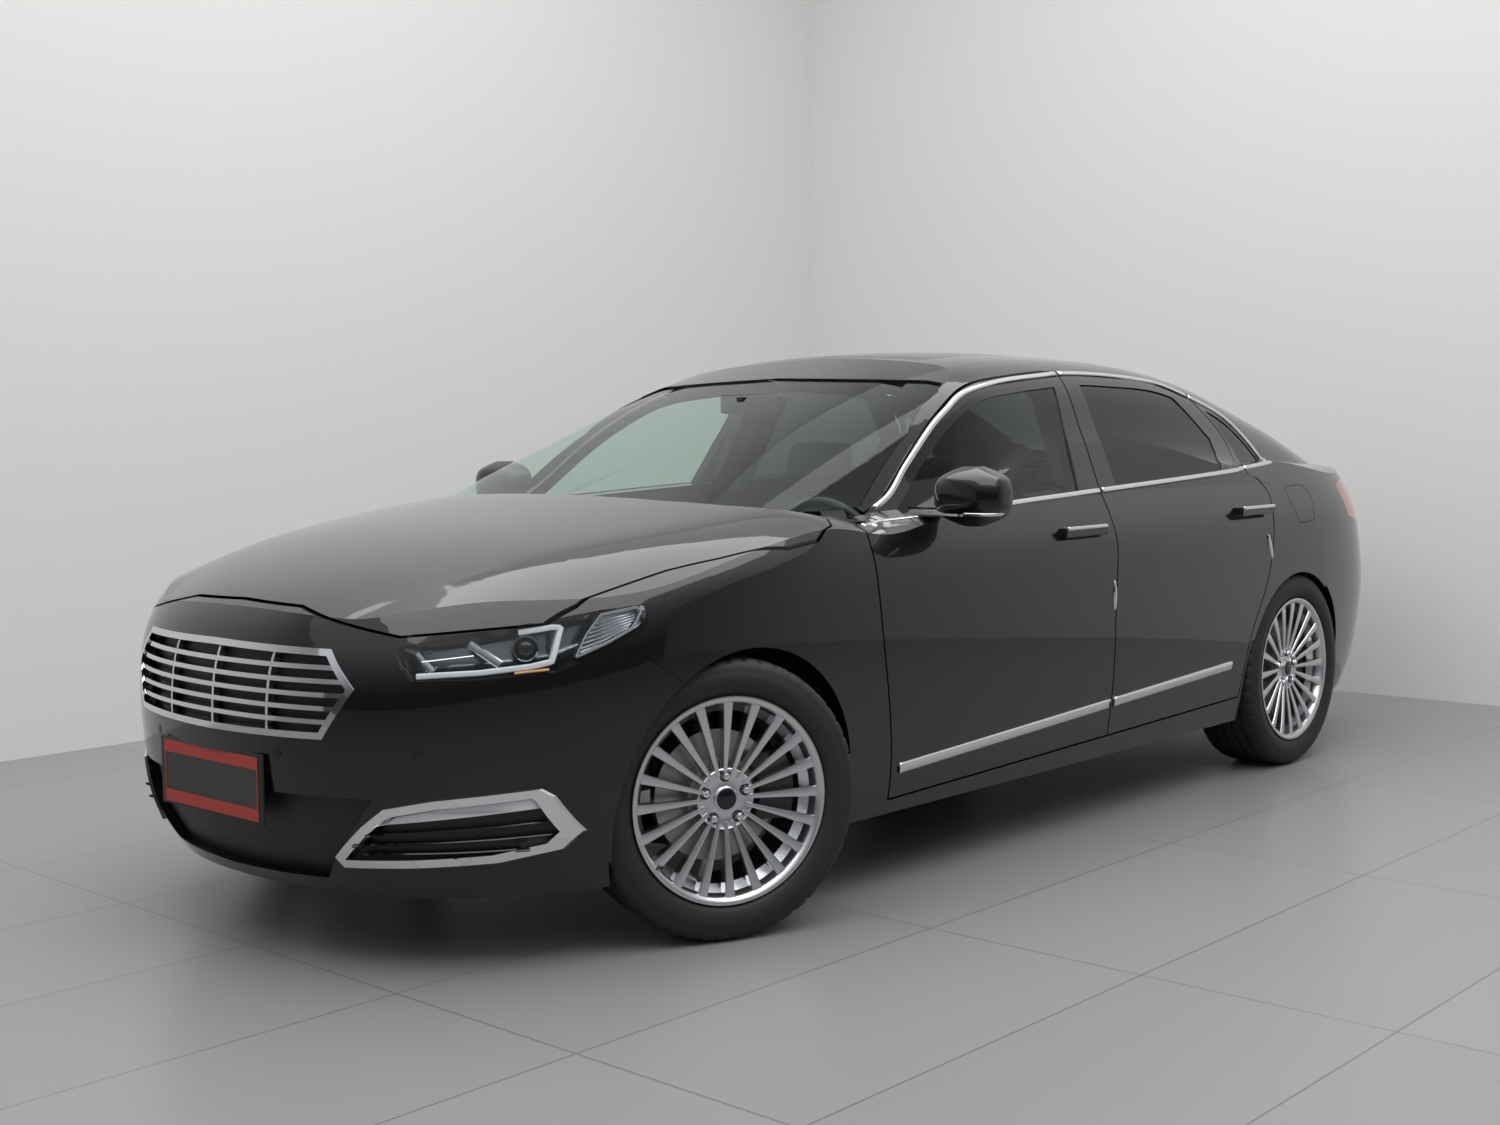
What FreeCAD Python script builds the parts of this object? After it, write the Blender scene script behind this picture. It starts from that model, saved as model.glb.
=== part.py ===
import FreeCAD, Part
import math
import os
from FreeCAD import Placement, Rotation, Vector

doc = FreeCAD.newDocument("sedan_car")

# Driving dimensions, in millimetres and degrees
DRIVING = [
    ("front_overhang", 955),
    ("wheelbase", 2949),
    ("rear_overhang", 1092),
    ("half_width", 939),
    ("roof_height", 1503),
    ("cowl_height", 1085),
    ("deck_height", 1118),
    ("sill_height", 222),
    ("glass_lean", 176),
    ("half_track", 803),
    ("tyre_radius", 351.5),
    ("tyre_width", 245),
    ("flange_radius", 258.5),
    ("rim_width", 226),
    ("rim_wall", 9),
    ("spoke_count", 20),
    ("spoke_depth", 26),
    ("disc_radius", 165),
    ("disc_thickness", 28),
    ("kingpin_offset", 68),
    ("steer_rest", 22.2),
    ("front_arch_radius", 387),
    ("rear_arch_radius", 372),
    ("wheelhouse_radius", 408),
    ("door_thickness", 110),
    ("skin_thickness", 38),
    ("roof_thickness", 38),
    ("panel_gap", 6),
    ("seat_gap", 0.3),
    ("glass_thickness", 5),
    ("glass_recess", 7),
    ("frame_width", 48),
    ("floor_thickness", 28),
    ("bumper_thickness", 40),
    ("hood_thickness", 30),
    ("lamp_depth", 120),
    ("strip_height", 26),
    ("chrome_height", 14),
    ("steering_wheel_radius", 188),
    ("seat_width", 520),
]

sheet = doc.addObject("Spreadsheet::Sheet", "sizes")
for row, (alias, value) in enumerate(DRIVING, start=1):
    sheet.set("A%d" % row, alias)
    sheet.set("B%d" % row, str(value))
    sheet.setAlias("B%d" % row, alias)
doc.recompute()


def size(alias):
    """The value of one driving dimension."""
    return float(sheet.get(alias))


HALF_LENGTH = (size("front_overhang") + size("wheelbase") + size("rear_overhang")) / 2
FRONT_AXLE = HALF_LENGTH - size("front_overhang")
REAR_AXLE = FRONT_AXLE - size("wheelbase")
AXLE_HEIGHT = size("tyre_radius")
HALF_WIDTH = size("half_width")
ROOF = size("roof_height")
COWL = size("cowl_height")
DECK = size("deck_height")
SILL = size("sill_height")
GAP = size("panel_gap")
SEAT_GAP = size("seat_gap")
WAIST_X = (FRONT_AXLE + REAR_AXLE) / 2


def ahead(distance):
    """A station measured forward of the front axle."""
    return FRONT_AXLE + distance


def behind(distance):
    """A station measured rearward of the rear axle."""
    return REAR_AXLE - distance


def smooth_line(knots):
    """A natural cubic curve through knots, straight beyond its ends."""
    knots = sorted(knots)
    xs = [knot[0] for knot in knots]
    ys = [knot[1] for knot in knots]
    last = len(xs) - 1
    steps = [xs[i + 1] - xs[i] for i in range(last)]
    bends = [0.0] * (last + 1)
    ratio = [0.0] * (last + 1)
    carry = [0.0] * (last + 1)
    for i in range(1, last):
        rise = 6 * ((ys[i + 1] - ys[i]) / steps[i] - (ys[i] - ys[i - 1]) / steps[i - 1])
        width = 2 * (steps[i - 1] + steps[i]) - steps[i - 1] * ratio[i - 1]
        ratio[i] = steps[i] / width
        carry[i] = (rise - steps[i - 1] * carry[i - 1]) / width
    for i in range(last - 1, 0, -1):
        bends[i] = carry[i] - ratio[i] * bends[i + 1]

    def value(at):
        at_inside = min(max(at, xs[0]), xs[-1])
        i = 0
        while i < last - 1 and at_inside > xs[i + 1]:
            i += 1
        step = steps[i]
        left = (xs[i + 1] - at_inside) / step
        right = 1 - left
        inside = (left * ys[i] + right * ys[i + 1]
                  + ((left ** 3 - left) * bends[i] + (right ** 3 - right) * bends[i + 1]) * step ** 2 / 6)
        if at == at_inside:
            return inside
        end = 0 if at < xs[0] else last - 1
        slope = (ys[end + 1] - ys[end]) / steps[end]
        edge_bend = steps[end] / 6
        if at < xs[0]:
            slope -= edge_bend * bends[1]
        else:
            slope += edge_bend * bends[last - 1]
        return inside + slope * (at - at_inside)

    return value


# Half width of the body side at each height, from the sill to above the shoulder
side_line = smooth_line([
    (150, HALF_WIDTH - 71), (300, HALF_WIDTH - 36), (450, HALF_WIDTH - 13), (600, HALF_WIDTH - 2),
    (720, HALF_WIDTH), (840, HALF_WIDTH - 3), (900, HALF_WIDTH - 12), (950, HALF_WIDTH - 35),
    (1000, HALF_WIDTH - 64), (1060, HALF_WIDTH - 102), (1140, HALF_WIDTH - 160)])
# Reach of the nose and of the tail at each height
nose_line = smooth_line([
    (150, HALF_LENGTH - 120), (220, HALF_LENGTH - 62), (300, HALF_LENGTH - 26), (400, HALF_LENGTH - 10),
    (560, HALF_LENGTH), (700, HALF_LENGTH - 10), (772, HALF_LENGTH - 33), (831, HALF_LENGTH - 73),
    (870, HALF_LENGTH - 113), (920, HALF_LENGTH - 198), (1000, HALF_LENGTH - 448), (1160, HALF_LENGTH - 948)])
tail_line = smooth_line([
    (150, HALF_LENGTH - 168), (220, HALF_LENGTH - 98), (338, HALF_LENGTH - 36), (480, HALF_LENGTH - 13),
    (650, HALF_LENGTH + 2), (760, HALF_LENGTH - 22), (900, HALF_LENGTH - 46), (1060, HALF_LENGTH - 58),
    (1100, HALF_LENGTH - 83), (1160, HALF_LENGTH - 128)])
FRONT_SQUARE = 6.5
FRONT_ROUND = 2.2
REAR_SQUARE = 9.0
REAR_ROUND = 2.8
BODY_LEVELS = (150, 1160, 17)
LOOP_POINTS = 48


def plan_loop(height, half_width, front, rear, centre, squares, rounds):
    """Points of a closed level curve of the body, square-cornered as its exponents say."""
    points = []
    for step in range(LOOP_POINTS):
        angle = 2 * math.pi * (step + 0.5) / LOOP_POINTS
        cosine = math.cos(angle)
        sine = math.sin(angle)
        end = 0 if cosine > 0 else 1
        reach = (front - centre) if cosine > 0 else (centre - rear)
        along = reach * abs(cosine) ** (2 / squares[end])
        across = half_width * abs(sine) ** (2 / rounds[end])
        points.append(Vector(centre + math.copysign(along, cosine), math.copysign(across, sine), height))
    return points


def clamped(count):
    """Knots and their repeats for an even cubic spline that starts and ends on its poles."""
    knots = [float(i) for i in range(count - 2)]
    repeats = [4] + [1] * (count - 4) + [4]
    return knots, repeats


def looped_solid(loops):
    """A closed solid whose sides follow level loops of poles, with flat ends."""
    around = len(loops[0])
    knots, repeats = clamped(len(loops))
    surface = Part.BSplineSurface()
    surface.buildFromPolesMultsKnots(loops, repeats, [1] * (around + 1), knots,
                                     [float(i) for i in range(around + 1)], False, True, 3, 3)
    side = surface.toShape()
    caps = [Part.Face(Part.Wire(edge)) for edge in side.Edges
            if edge.BoundBox.ZLength < 0.001]
    shell = Part.makeShell([side] + caps)
    shell.sewShape()
    solid = Part.makeSolid(shell)
    if solid.Volume < 0:
        solid.reverse()
    return solid


def field_solid(grid):
    """The space under a grid of poles, as one solid down to below the ground."""
    knots_x, repeats_x = clamped(len(grid))
    knots_y, repeats_y = clamped(len(grid[0]))
    surface = Part.BSplineSurface()
    surface.buildFromPolesMultsKnots(grid, repeats_x, repeats_y, knots_x, knots_y, False, False, 3, 3)
    return surface.toShape().extrude(Vector(0, 0, -2 * ROOF))


def spread(low, high, count):
    """Evenly spaced stations from low to high."""
    return [low + (high - low) * i / (count - 1) for i in range(count)]


def body_band(inset):
    """The body's sides, nose and tail as one solid, moved in by inset."""
    return looped_solid([
        plan_loop(level, side_line(level) - inset, nose_line(level) - inset, inset - tail_line(level),
                  WAIST_X, (FRONT_SQUARE, REAR_SQUARE), (FRONT_ROUND, REAR_ROUND))
        for level in spread(BODY_LEVELS[0], BODY_LEVELS[1], BODY_LEVELS[2])])


# Hood, belt and deck: height of the middle, and the crease with its height and its outer slope
middle_line = smooth_line([
    (-HALF_LENGTH - 120, DECK - 60), (-HALF_LENGTH + 60, DECK - 26), (-HALF_LENGTH + 200, DECK - 14),
    (behind(660), DECK), (behind(100), DECK + 2), (WAIST_X, COWL + 25), (ahead(-500), COWL + 10),
    (ahead(-260), COWL), (ahead(0), COWL - 32), (ahead(337), COWL - 77), (ahead(532), COWL - 117),
    (ahead(700), COWL - 168), (ahead(847), COWL - 222), (ahead(955), COWL - 290), (ahead(1075), COWL - 390)])
crease_y = smooth_line([
    (-HALF_LENGTH - 120, 560), (-HALF_LENGTH + 200, 640), (behind(500), 700), (behind(60), 800),
    (WAIST_X, 826), (ahead(-560), 806), (ahead(-440), 775), (ahead(-63), 730), (ahead(207), 675),
    (ahead(437), 610), (ahead(647), 520), (ahead(787), 450), (ahead(1075), 330)])
crease_z = smooth_line([
    (-HALF_LENGTH - 120, DECK - 98), (-HALF_LENGTH + 60, DECK - 62), (-HALF_LENGTH + 200, DECK - 50),
    (behind(500), DECK - 26), (behind(60), DECK - 4), (REAR_AXLE + 462, DECK - 28), (WAIST_X, COWL - 38),
    (ahead(-790), COWL - 72), (ahead(-524), COWL - 74), (ahead(-443), COWL - 46), (ahead(-203), COWL - 55),
    (ahead(-63), COWL - 70), (ahead(207), COWL - 102), (ahead(357), COWL - 123), (ahead(487), COWL - 147),
    (ahead(647), COWL - 195), (ahead(787), COWL - 245), (ahead(1075), COWL - 400)])
crease_slope = smooth_line([
    (-HALF_LENGTH - 120, 0.1), (-HALF_LENGTH + 200, 0.24), (behind(500), 0.3), (behind(60), 0.42),
    (WAIST_X, 0.45), (ahead(-540), 0.42), (ahead(-240), 0.33), (ahead(207), 0.32), (ahead(457), 0.26),
    (ahead(600), 0.12), (ahead(720), 0.02), (ahead(1075), 0.0)])
OUTER_ROLL = 0.0008
FOLD_WIDTH = 14.0
FIELD_EDGE = HALF_WIDTH + 90


def top_height(x, y):
    """Height of hood, belt and deck at a place in plan."""
    side = abs(y)
    fold = crease_y(x)
    middle = middle_line(x)
    edge = crease_z(x)
    inner = min(side / fold, 1.0)
    height = middle - (middle - edge) * inner ** 2.2
    past = side - fold
    soft = FOLD_WIDTH * math.log(1 + math.exp(min(past / FOLD_WIDTH, 40)))
    past = max(past, 0)
    return height - crease_slope(x) * soft - OUTER_ROLL * past ** 2


def top_field(drop):
    """The space under hood, belt and deck, lowered by drop, its lines gathered along the crease."""
    grid = []
    for x in spread(-HALF_LENGTH - 110, HALF_LENGTH + 110, 33):
        fold = crease_y(x)
        half = spread(0, fold, 10) + spread(fold, FIELD_EDGE, 6)[1:]
        line = [-y for y in reversed(half[1:])] + half
        grid.append([Vector(x, y, top_height(x, y) - drop) for y in line])
    return field_solid(grid)


def lower_body(inset, drop):
    """The lower body's solid, moved in by inset and down by drop."""
    return body_band(inset).common(top_field(drop))


# Greenhouse: half width, windscreen and rear window at each height
LEAN = size("glass_lean")
glass_line = smooth_line([
    (930, HALF_WIDTH - 40), (1000, HALF_WIDTH - 71), (1100, HALF_WIDTH - 71 - 0.27 * LEAN),
    (1200, HALF_WIDTH - 71 - 0.54 * LEAN), (1300, HALF_WIDTH - 71 - 0.79 * LEAN),
    (1390, HALF_WIDTH - 71 - LEAN), (1440, HALF_WIDTH - 71 - 1.16 * LEAN), (1560, HALF_WIDTH - 71 - 1.5 * LEAN)])
screen_line = smooth_line([
    (930, ahead(80)), (1085, ahead(-293)), (1250, ahead(-690)), (1395, ahead(-1088)),
    (1440, ahead(-1230)), (1560, ahead(-1640))])
backlight_line = smooth_line([
    (930, behind(960)), (1040, behind(840)), (1127, behind(672)), (1216, behind(414)), (1304, behind(118)), (1383, behind(-172)),
    (1431, behind(-385)), (1455, behind(-510)), (1485, behind(-700)), (1560, behind(-1130))])
GREEN_LEVELS = (930, 1560, 14)
GREEN_CENTRE = REAR_AXLE + 1206
SCREEN_CURVE = 105.0
BACKLIGHT_CURVE = 90.0
GREEN_ROUND = 2.2


def green_band(side_inset, end_inset):
    """Side glass, windscreen and rear window as one solid, moved in."""
    loops = []
    for level in spread(GREEN_LEVELS[0], GREEN_LEVELS[1], GREEN_LEVELS[2]):
        front = screen_line(level) - end_inset
        rear = backlight_line(level) + end_inset
        squares = ((front - GREEN_CENTRE) / SCREEN_CURVE, (GREEN_CENTRE - rear) / BACKLIGHT_CURVE)
        loops.append(plan_loop(level, glass_line(level) - side_inset, front, rear, GREEN_CENTRE,
                               [max(square, 3.0) for square in squares], (GREEN_ROUND, GREEN_ROUND)))
    return looped_solid(loops)


roof_line = smooth_line([
    (behind(1000), ROOF - 430), (behind(649), ROOF - 330), (behind(389), ROOF - 240), (behind(94), ROOF - 160),
    (behind(-196), ROOF - 82), (behind(-421), ROOF - 41), (behind(-600), ROOF - 19), (behind(-900), ROOF - 4),
    (REAR_AXLE + 1256, ROOF), (ahead(-1443), ROOF - 13), (ahead(-1193), ROOF - 51), (ahead(-1043), ROOF - 90),
    (ahead(-700), ROOF - 210), (ahead(-300), ROOF - 350), (ahead(100), ROOF - 480)])


ROOF_FALL = 780


def roof_height(x, y):
    """Height of the roof at a place in plan."""
    side = min(abs(y), ROOF_FALL)
    return roof_line(x) - 33 * (side / 560) ** 2 - 28 * (side / 640) ** 12


def roof_field(drop):
    """The space under the roof, as one solid."""
    places = [-FIELD_EDGE, -ROOF_FALL - 90] + spread(-ROOF_FALL, ROOF_FALL, 21) + [ROOF_FALL + 90, FIELD_EDGE]
    return field_solid([[Vector(x, y, roof_height(x, y) - drop) for y in places]
                        for x in spread(behind(1200), ahead(100), 26)])


def box(x0, x1, y0, y1, z0, z1):
    """A plain box between two corners."""
    return Part.makeBox(x1 - x0, y1 - y0, z1 - z0, Vector(x0, y0, z0))


def greenhouse(side_inset, end_inset, drop):
    """The greenhouse's solid, moved in and down."""
    return green_band(side_inset, end_inset).common(roof_field(drop))


def drawn(points):
    """One edge through points: a straight line for two, a curve for more."""
    if len(points) == 2:
        return Part.LineSegment(points[0], points[1]).toShape()
    curve = Part.BSplineCurve()
    curve.interpolate(points)
    return curve.toShape()


def prism(lines, place, way):
    """A solid drawn by connected lines of pairs, put in space by place and pushed along way."""
    edges = [drawn([place(*pair) for pair in line]) for line in lines]
    return Part.Face(Part.Wire(edges)).extrude(way)


def side_prism(lines, low, high):
    """A prism across the car, its lines drawn as length and height."""
    return prism(lines, lambda x, z: Vector(x, low, z), Vector(0, high - low, 0))


def plan_prism(lines, low, high):
    """A prism up and down, its lines drawn as length and width."""
    return prism(lines, lambda x, y: Vector(x, y, low), Vector(0, 0, high - low))


def front_prism(lines, low, high):
    """A prism along the car, its lines drawn as width and height."""
    return prism(lines, lambda y, z: Vector(low, y, z), Vector(high - low, 0, 0))


def ring(points):
    """A closed run of straight lines through points."""
    return [[points[i], points[(i + 1) % len(points)]] for i in range(len(points))]


def moved(line, shift_first, shift_second):
    """A line of pairs, shifted."""
    return [(first + shift_first, second + shift_second) for first, second in line]


def mirrored(shape):
    """The same shape on the car's other side."""
    return shape.mirror(Vector(0, 0, 0), Vector(0, 1, 0))


def across(radius, x, z, low, high):
    """A cylinder across the car."""
    return Part.makeCylinder(radius, high - low, Vector(x, low, z), Vector(0, 1, 0))


def cut_each(shape, tools):
    """A shape cut by one tool after another, which holds better than all of them at once."""
    for tool in tools:
        shape = shape.cut(tool)
    return shape


def add_part(label, shape):
    """A sub-part of the document with a computed shape."""
    part = doc.addObject("Part::Feature", label)
    part.Label = label
    part.Shape = shape
    part.Placement = Placement()
    NODES.append(part)
    return part


NODES = []

# Stations and heights that the pieces share
SKIN = size("skin_thickness")
DOOR = size("door_thickness")
HOOD = size("hood_thickness")
FLOOR_TOP = SILL + 40
FIREWALL = ahead(-503)
SEAT_BULKHEAD = behind(160)
EDGE = HALF_WIDTH + 60
TOP = ROOF + 60
NOSE = HALF_LENGTH + 60

# Side view of the shut lines, from the bottom up, and the glass line
FRONT_LINE = [(ahead(-575), SILL - 70), (ahead(-569), SILL + 97), (ahead(-520), SILL + 373),
              (ahead(-496), SILL + 525), (ahead(-488), SILL + 683), (ahead(-502), SILL + 760)]
B_LINE = [(WAIST_X - 216, SILL - 70), (WAIST_X - 203, SILL + 130), (WAIST_X - 194, SILL + 311),
          (WAIST_X - 196, SILL + 532), (WAIST_X - 212, SILL + 640), (WAIST_X - 244, SILL + 820),
          (WAIST_X - 278, SILL + 1025), (WAIST_X - 318, TOP)]
REAR_LINE = [(behind(-394), SILL - 70), (behind(-397), SILL + 157), (behind(-355), SILL + 315),
             (behind(-263), SILL + 469), (behind(-222), SILL + 578), (behind(-160), SILL + 730),
             (behind(-137), SILL + 769), (behind(-161), SILL + 824)]
REAR_UPPER = [(behind(-161), SILL + 824), (behind(-206), SILL + 853), (behind(-206), SILL + 928),
              (behind(-296), SILL + 1063), (behind(-361), SILL + 1128), (behind(-376), SILL + 1153)]
DOOR_SILL = [(ahead(-569), SILL + 30), (behind(-397), SILL + 76)]
GLASS_TOP = [(ahead(-538), COWL - 96), (ahead(-579), COWL - 87), (ahead(-748), COWL - 19),
             (ahead(-860), COWL + 65), (ahead(-1013), COWL + 171), (ahead(-1116), ROOF - 191),
             (ahead(-1234), ROOF - 139), (ahead(-1437), ROOF - 102), (ahead(-1672), ROOF - 82),
             (ahead(-1822), ROOF - 73), (behind(-847), ROOF - 77), (behind(-543), ROOF - 100),
             (behind(-336), ROOF - 152), (behind(-140), ROOF - 215), (behind(-6), ROOF - 303),
             (behind(88), DECK - 14)]
BELT_LINE = [(ahead(-538), COWL - 96), (ahead(-788), COWL - 84), (ahead(-1222), COWL - 63),
             (ahead(-1709), COWL - 44), (behind(-395), DECK - 44), (behind(92), DECK - 14)]
ARCH_HEIGHT = AXLE_HEIGHT - 16


SILL_RISE = (DOOR_SILL[0][1] - DOOR_SILL[1][1]) / (DOOR_SILL[0][0] - DOOR_SILL[1][0])
FAR = NOSE


def inset_line(line, distance):
    """A line drawn rearward, moved down and inward by a distance."""
    result = []
    for i, (x, z) in enumerate(line):
        before = line[max(i - 1, 0)]
        after = line[min(i + 1, len(line) - 1)]
        run = math.hypot(after[0] - before[0], after[1] - before[1])
        result.append((x - distance * (after[1] - before[1]) / run, z + distance * (after[0] - before[0]) / run))
    return result


def under_glass_line(inset, low, high):
    """Everything below the top of the side glass, moved in, as a prism across the car."""
    top = inset_line(GLASS_TOP[1:], inset)
    return side_prism([top] + ring_open([top[-1], (-FAR, top[-1][1]), (-FAR, -100), (FAR, -100),
                                         (FAR, top[0][1]), top[0]]), low, high)


def over_belt_line(lift, low, high):
    """Everything above the belt, lifted, as a prism across the car."""
    belt = moved(BELT_LINE, 0, lift)
    return side_prism([belt] + ring_open([belt[-1], (-FAR, belt[-1][1]), (-FAR, TOP + 90), (FAR, TOP + 90),
                                          (FAR, belt[0][1]), belt[0]]), low, high)


def ring_open(points):
    """An open run of straight lines through points."""
    return [[points[i], points[i + 1]] for i in range(len(points) - 1) if points[i] != points[i + 1]]


def column(front, rear, sill_drop, low, high):
    """The space between two shut lines and above the door sill, as a prism across the car."""
    lines = [front] + ring_open([front[-1], (front[-1][0], TOP), (rear[-1][0], TOP), rear[-1]])
    lines += [list(reversed(rear)), [rear[0], front[0]]]
    body = side_prism(lines, low, high)
    front_sill = DOOR_SILL[0][1] + (FAR - DOOR_SILL[0][0]) * SILL_RISE - sill_drop
    rear_sill = DOOR_SILL[1][1] - (FAR + DOOR_SILL[1][0]) * SILL_RISE - sill_drop
    above = side_prism(ring([(FAR, front_sill), (FAR, TOP + 50), (-FAR, TOP + 50), (-FAR, rear_sill)]),
                       low - 5, high + 5)
    return body.common(above)


outer_low = lower_body(0, 0)
inner_low = lower_body(SKIN, HOOD)
outer_green = greenhouse(0, 0, 0)
inner_green = greenhouse(size("roof_thickness") + 4, 2.7 * size("roof_thickness"), size("roof_thickness"))
outer_form = outer_low.fuse(outer_green)

above_belt = side_prism(ring([(NOSE, COWL - 116), (behind(24), DECK - 24), (-NOSE, DECK - 24),
                              (-NOSE, TOP + 90), (NOSE, TOP + 90)]), -EDGE, EDGE)
cabin_void = body_band(DOOR).common(box(SEAT_BULKHEAD, FIREWALL, -EDGE, EDGE, 0, COWL + 75))
front_void = inner_low.common(box(FIREWALL, NOSE, -EDGE, EDGE, 0, TOP))
rear_void = inner_low.common(box(-NOSE, SEAT_BULKHEAD, -EDGE, EDGE, 0, TOP))
skin = outer_form.cut([cabin_void, inner_green.common(above_belt), front_void, rear_void])
left_skin = skin.common(box(-NOSE, NOSE, 0, EDGE, 0, TOP + 90))

# Left doors, their windows and chrome
SHUT = GAP / 2
INBOARD = 380
FRAME = size("frame_width")
rear_edge = REAR_LINE[:-1] + REAR_UPPER
front_door_column = column(FRONT_LINE, moved(B_LINE, SHUT, 0), 0, INBOARD, EDGE)
rear_door_column = column(moved(B_LINE, -SHUT, 0), rear_edge, 0, INBOARD, EDGE)
door_opening = column(moved(FRONT_LINE, GAP, 0), inset_line(rear_edge, GAP), GAP, INBOARD, EDGE)
glass_zone = under_glass_line(0, INBOARD, EDGE)
pane_zone = under_glass_line(FRAME, INBOARD, EDGE).common(over_belt_line(12, INBOARD, EDGE))
front_pane = pane_zone.common(side_prism(ring([
    (ahead(-703), COWL - 105), (ahead(-858), COWL + 60), (ahead(-858), TOP), (WAIST_X - 243, TOP),
    (WAIST_X - 243, ROOF - 90), (WAIST_X - 120, COWL - 55)]), INBOARD, EDGE))
rear_pane = pane_zone.common(side_prism(ring([
    (WAIST_X - 348, COWL - 60), (WAIST_X - 391, ROOF - 90), (WAIST_X - 391, TOP), (behind(-500), TOP),
    (behind(-500), ROOF - 150), (behind(-330), COWL + 111), (behind(-336), COWL + 65),
    (behind(-406), DECK - 60)]), INBOARD, EDGE))
quarter_pane = under_glass_line(FRAME - 14, INBOARD, EDGE).common(over_belt_line(12, INBOARD, EDGE)).common(
    side_prism(ring([(behind(-160), DECK - 60), (behind(-160), SILL + 930), (behind(-270), SILL + 1080),
                     (behind(-340), TOP), (behind(200), TOP), (behind(200), DECK - 60)]), INBOARD, EDGE))

headliner = box(-FAR, FAR, 0, 636, ROOF - 133, TOP)
front_door = left_skin.common(front_door_column.common(glass_zone)).cut([front_pane, headliner])
rear_door = left_skin.common(rear_door_column.common(glass_zone)).cut([rear_pane, headliner])

glass_outer = size("glass_recess")
glass_inner = glass_outer + size("glass_thickness")
glass_core = greenhouse(glass_inner, 2.7 * glass_inner, glass_inner)
pane_sheet = greenhouse(glass_outer, 2.7 * glass_outer, glass_outer).cut(glass_core)
left_sheet = pane_sheet.common(box(-FAR, FAR, INBOARD, EDGE, 0, TOP))
front_glass = left_sheet.common(front_pane)
rear_glass = left_sheet.common(rear_pane)
quarter_glass = left_sheet.common(quarter_pane)



# Openings of the front: windscreen, hood, headlamps, fog lamps and grille, seen from above and ahead
def inner_ring(points, distance):
    """A closed outline drawn anticlockwise, moved in by a distance."""
    count = len(points)
    result = []
    for i in range(count):
        before = points[i - 1]
        here = points[i]
        after = points[(i + 1) % count]
        first = (here[0] - before[0], here[1] - before[1])
        second = (after[0] - here[0], after[1] - here[1])
        one = math.hypot(first[0], first[1])
        two = math.hypot(second[0], second[1])
        normal = (-first[1] / one - second[1] / two, first[0] / one + second[0] / two)
        share = distance / (0.5 * (normal[0] ** 2 + normal[1] ** 2))
        result.append((here[0] + share * normal[0], here[1] + share * normal[1]))
    return result


def both_sides(half):
    """A closed outline from its left half, listed from the bottom up: the right half comes by symmetry."""
    left = [(y, z) for y, z in half]
    right = [(-y, z) for y, z in reversed(half) if y != 0]
    return left + right


SCREEN = both_sides([(0, COWL - 40), (400, COWL - 44), (700, COWL - 56), (736, COWL - 46), (729, COWL - 19),
                     (688, COWL + 153), (638, ROOF - 145), (612, ROOF - 117), (560, ROOF - 108),
                     (303, ROOF - 99), (0, ROOF - 90)])
BACKLIGHT = both_sides([(0, DECK + 21), (520, DECK + 18), (600, DECK + 24), (628, DECK + 46),
                        (560, DECK + 172), (520, ROOF - 128), (480, ROOF - 112), (0, ROOF - 98)])
screen_hole = front_prism(ring(SCREEN), ahead(-1260), ahead(-100))
backlight_hole = front_prism(ring(BACKLIGHT), behind(900), behind(-380))
windscreen = pane_sheet.common(front_prism(ring(inner_ring(SCREEN, SEAT_GAP)), ahead(-1260), ahead(-100)))
rear_window = pane_sheet.common(front_prism(ring(inner_ring(BACKLIGHT, SEAT_GAP)), behind(900), behind(-380)))

ROOF_EDGE = 548
roof_zone = box(behind(-130), ahead(-900), -ROOF_EDGE, ROOF_EDGE, DECK + 60, TOP)
roof_panel = skin.common(roof_zone).cut([screen_hole, backlight_hole])

HOOD_SIDE = [(ahead(-408), 812), (ahead(-383), 848), (ahead(-296), 875), (ahead(-178), 875), (ahead(42), 846),
             (ahead(196), 815), (ahead(341), 798), (ahead(460), 784), (ahead(548), 758)]
HOOD_REAR = [(ahead(-178), 0), (ahead(-180), 200), (ahead(-198), 400), (ahead(-253), 600), (ahead(-323), 720),
             (ahead(-393), 792), (ahead(-408), 812)]
HOOD_FRONT = [(0, ROOF - 642), (225, ROOF - 648), (454, ROOF - 689), (539, ROOF - 704), (758, ROOF - 681),
              (EDGE, ROOF - 660)]


def hood_plan(grow):
    """The hood's outline seen from above, grown, pushed up through the body."""
    left = HOOD_REAR[:-1] + HOOD_SIDE + [(NOSE, HOOD_SIDE[-1][1])]
    right = [(x, -y) for x, y in reversed(left) if y != 0]
    return plan_prism(ring(inner_ring(left + right, grow)), SILL, TOP)


def over_hood_front(drop):
    """Everything above the hood's front edge, lowered."""
    left = [(y, z - drop) for y, z in HOOD_FRONT]
    right = [(-y, z) for y, z in reversed(left) if y != 0]
    return front_prism(ring(left + [(EDGE, TOP), (-EDGE, TOP)] + right), ahead(-450), NOSE)


hood_room = hood_plan(GAP).common(over_hood_front(GAP))
windscreen = windscreen.cut(hood_room)
hood = skin.common(hood_plan(0).common(over_hood_front(0)))
COWL_DROP = 26
cowl_zone = plan_prism(ring([(ahead(-600), -795), (HOOD_SIDE[0][0] - GAP, -795)]
                            + [(x - GAP, -y) for x, y in reversed(HOOD_REAR[1:-1])]
                            + [(x - GAP, y) for x, y in HOOD_REAR[:-1]]
                            + [(HOOD_SIDE[0][0] - GAP, 795), (ahead(-600), 795)]), SILL, TOP)
cowl_room = box(ahead(-560), ahead(-170), -795, 795, COWL - 160, TOP).common(cowl_zone)

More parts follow.
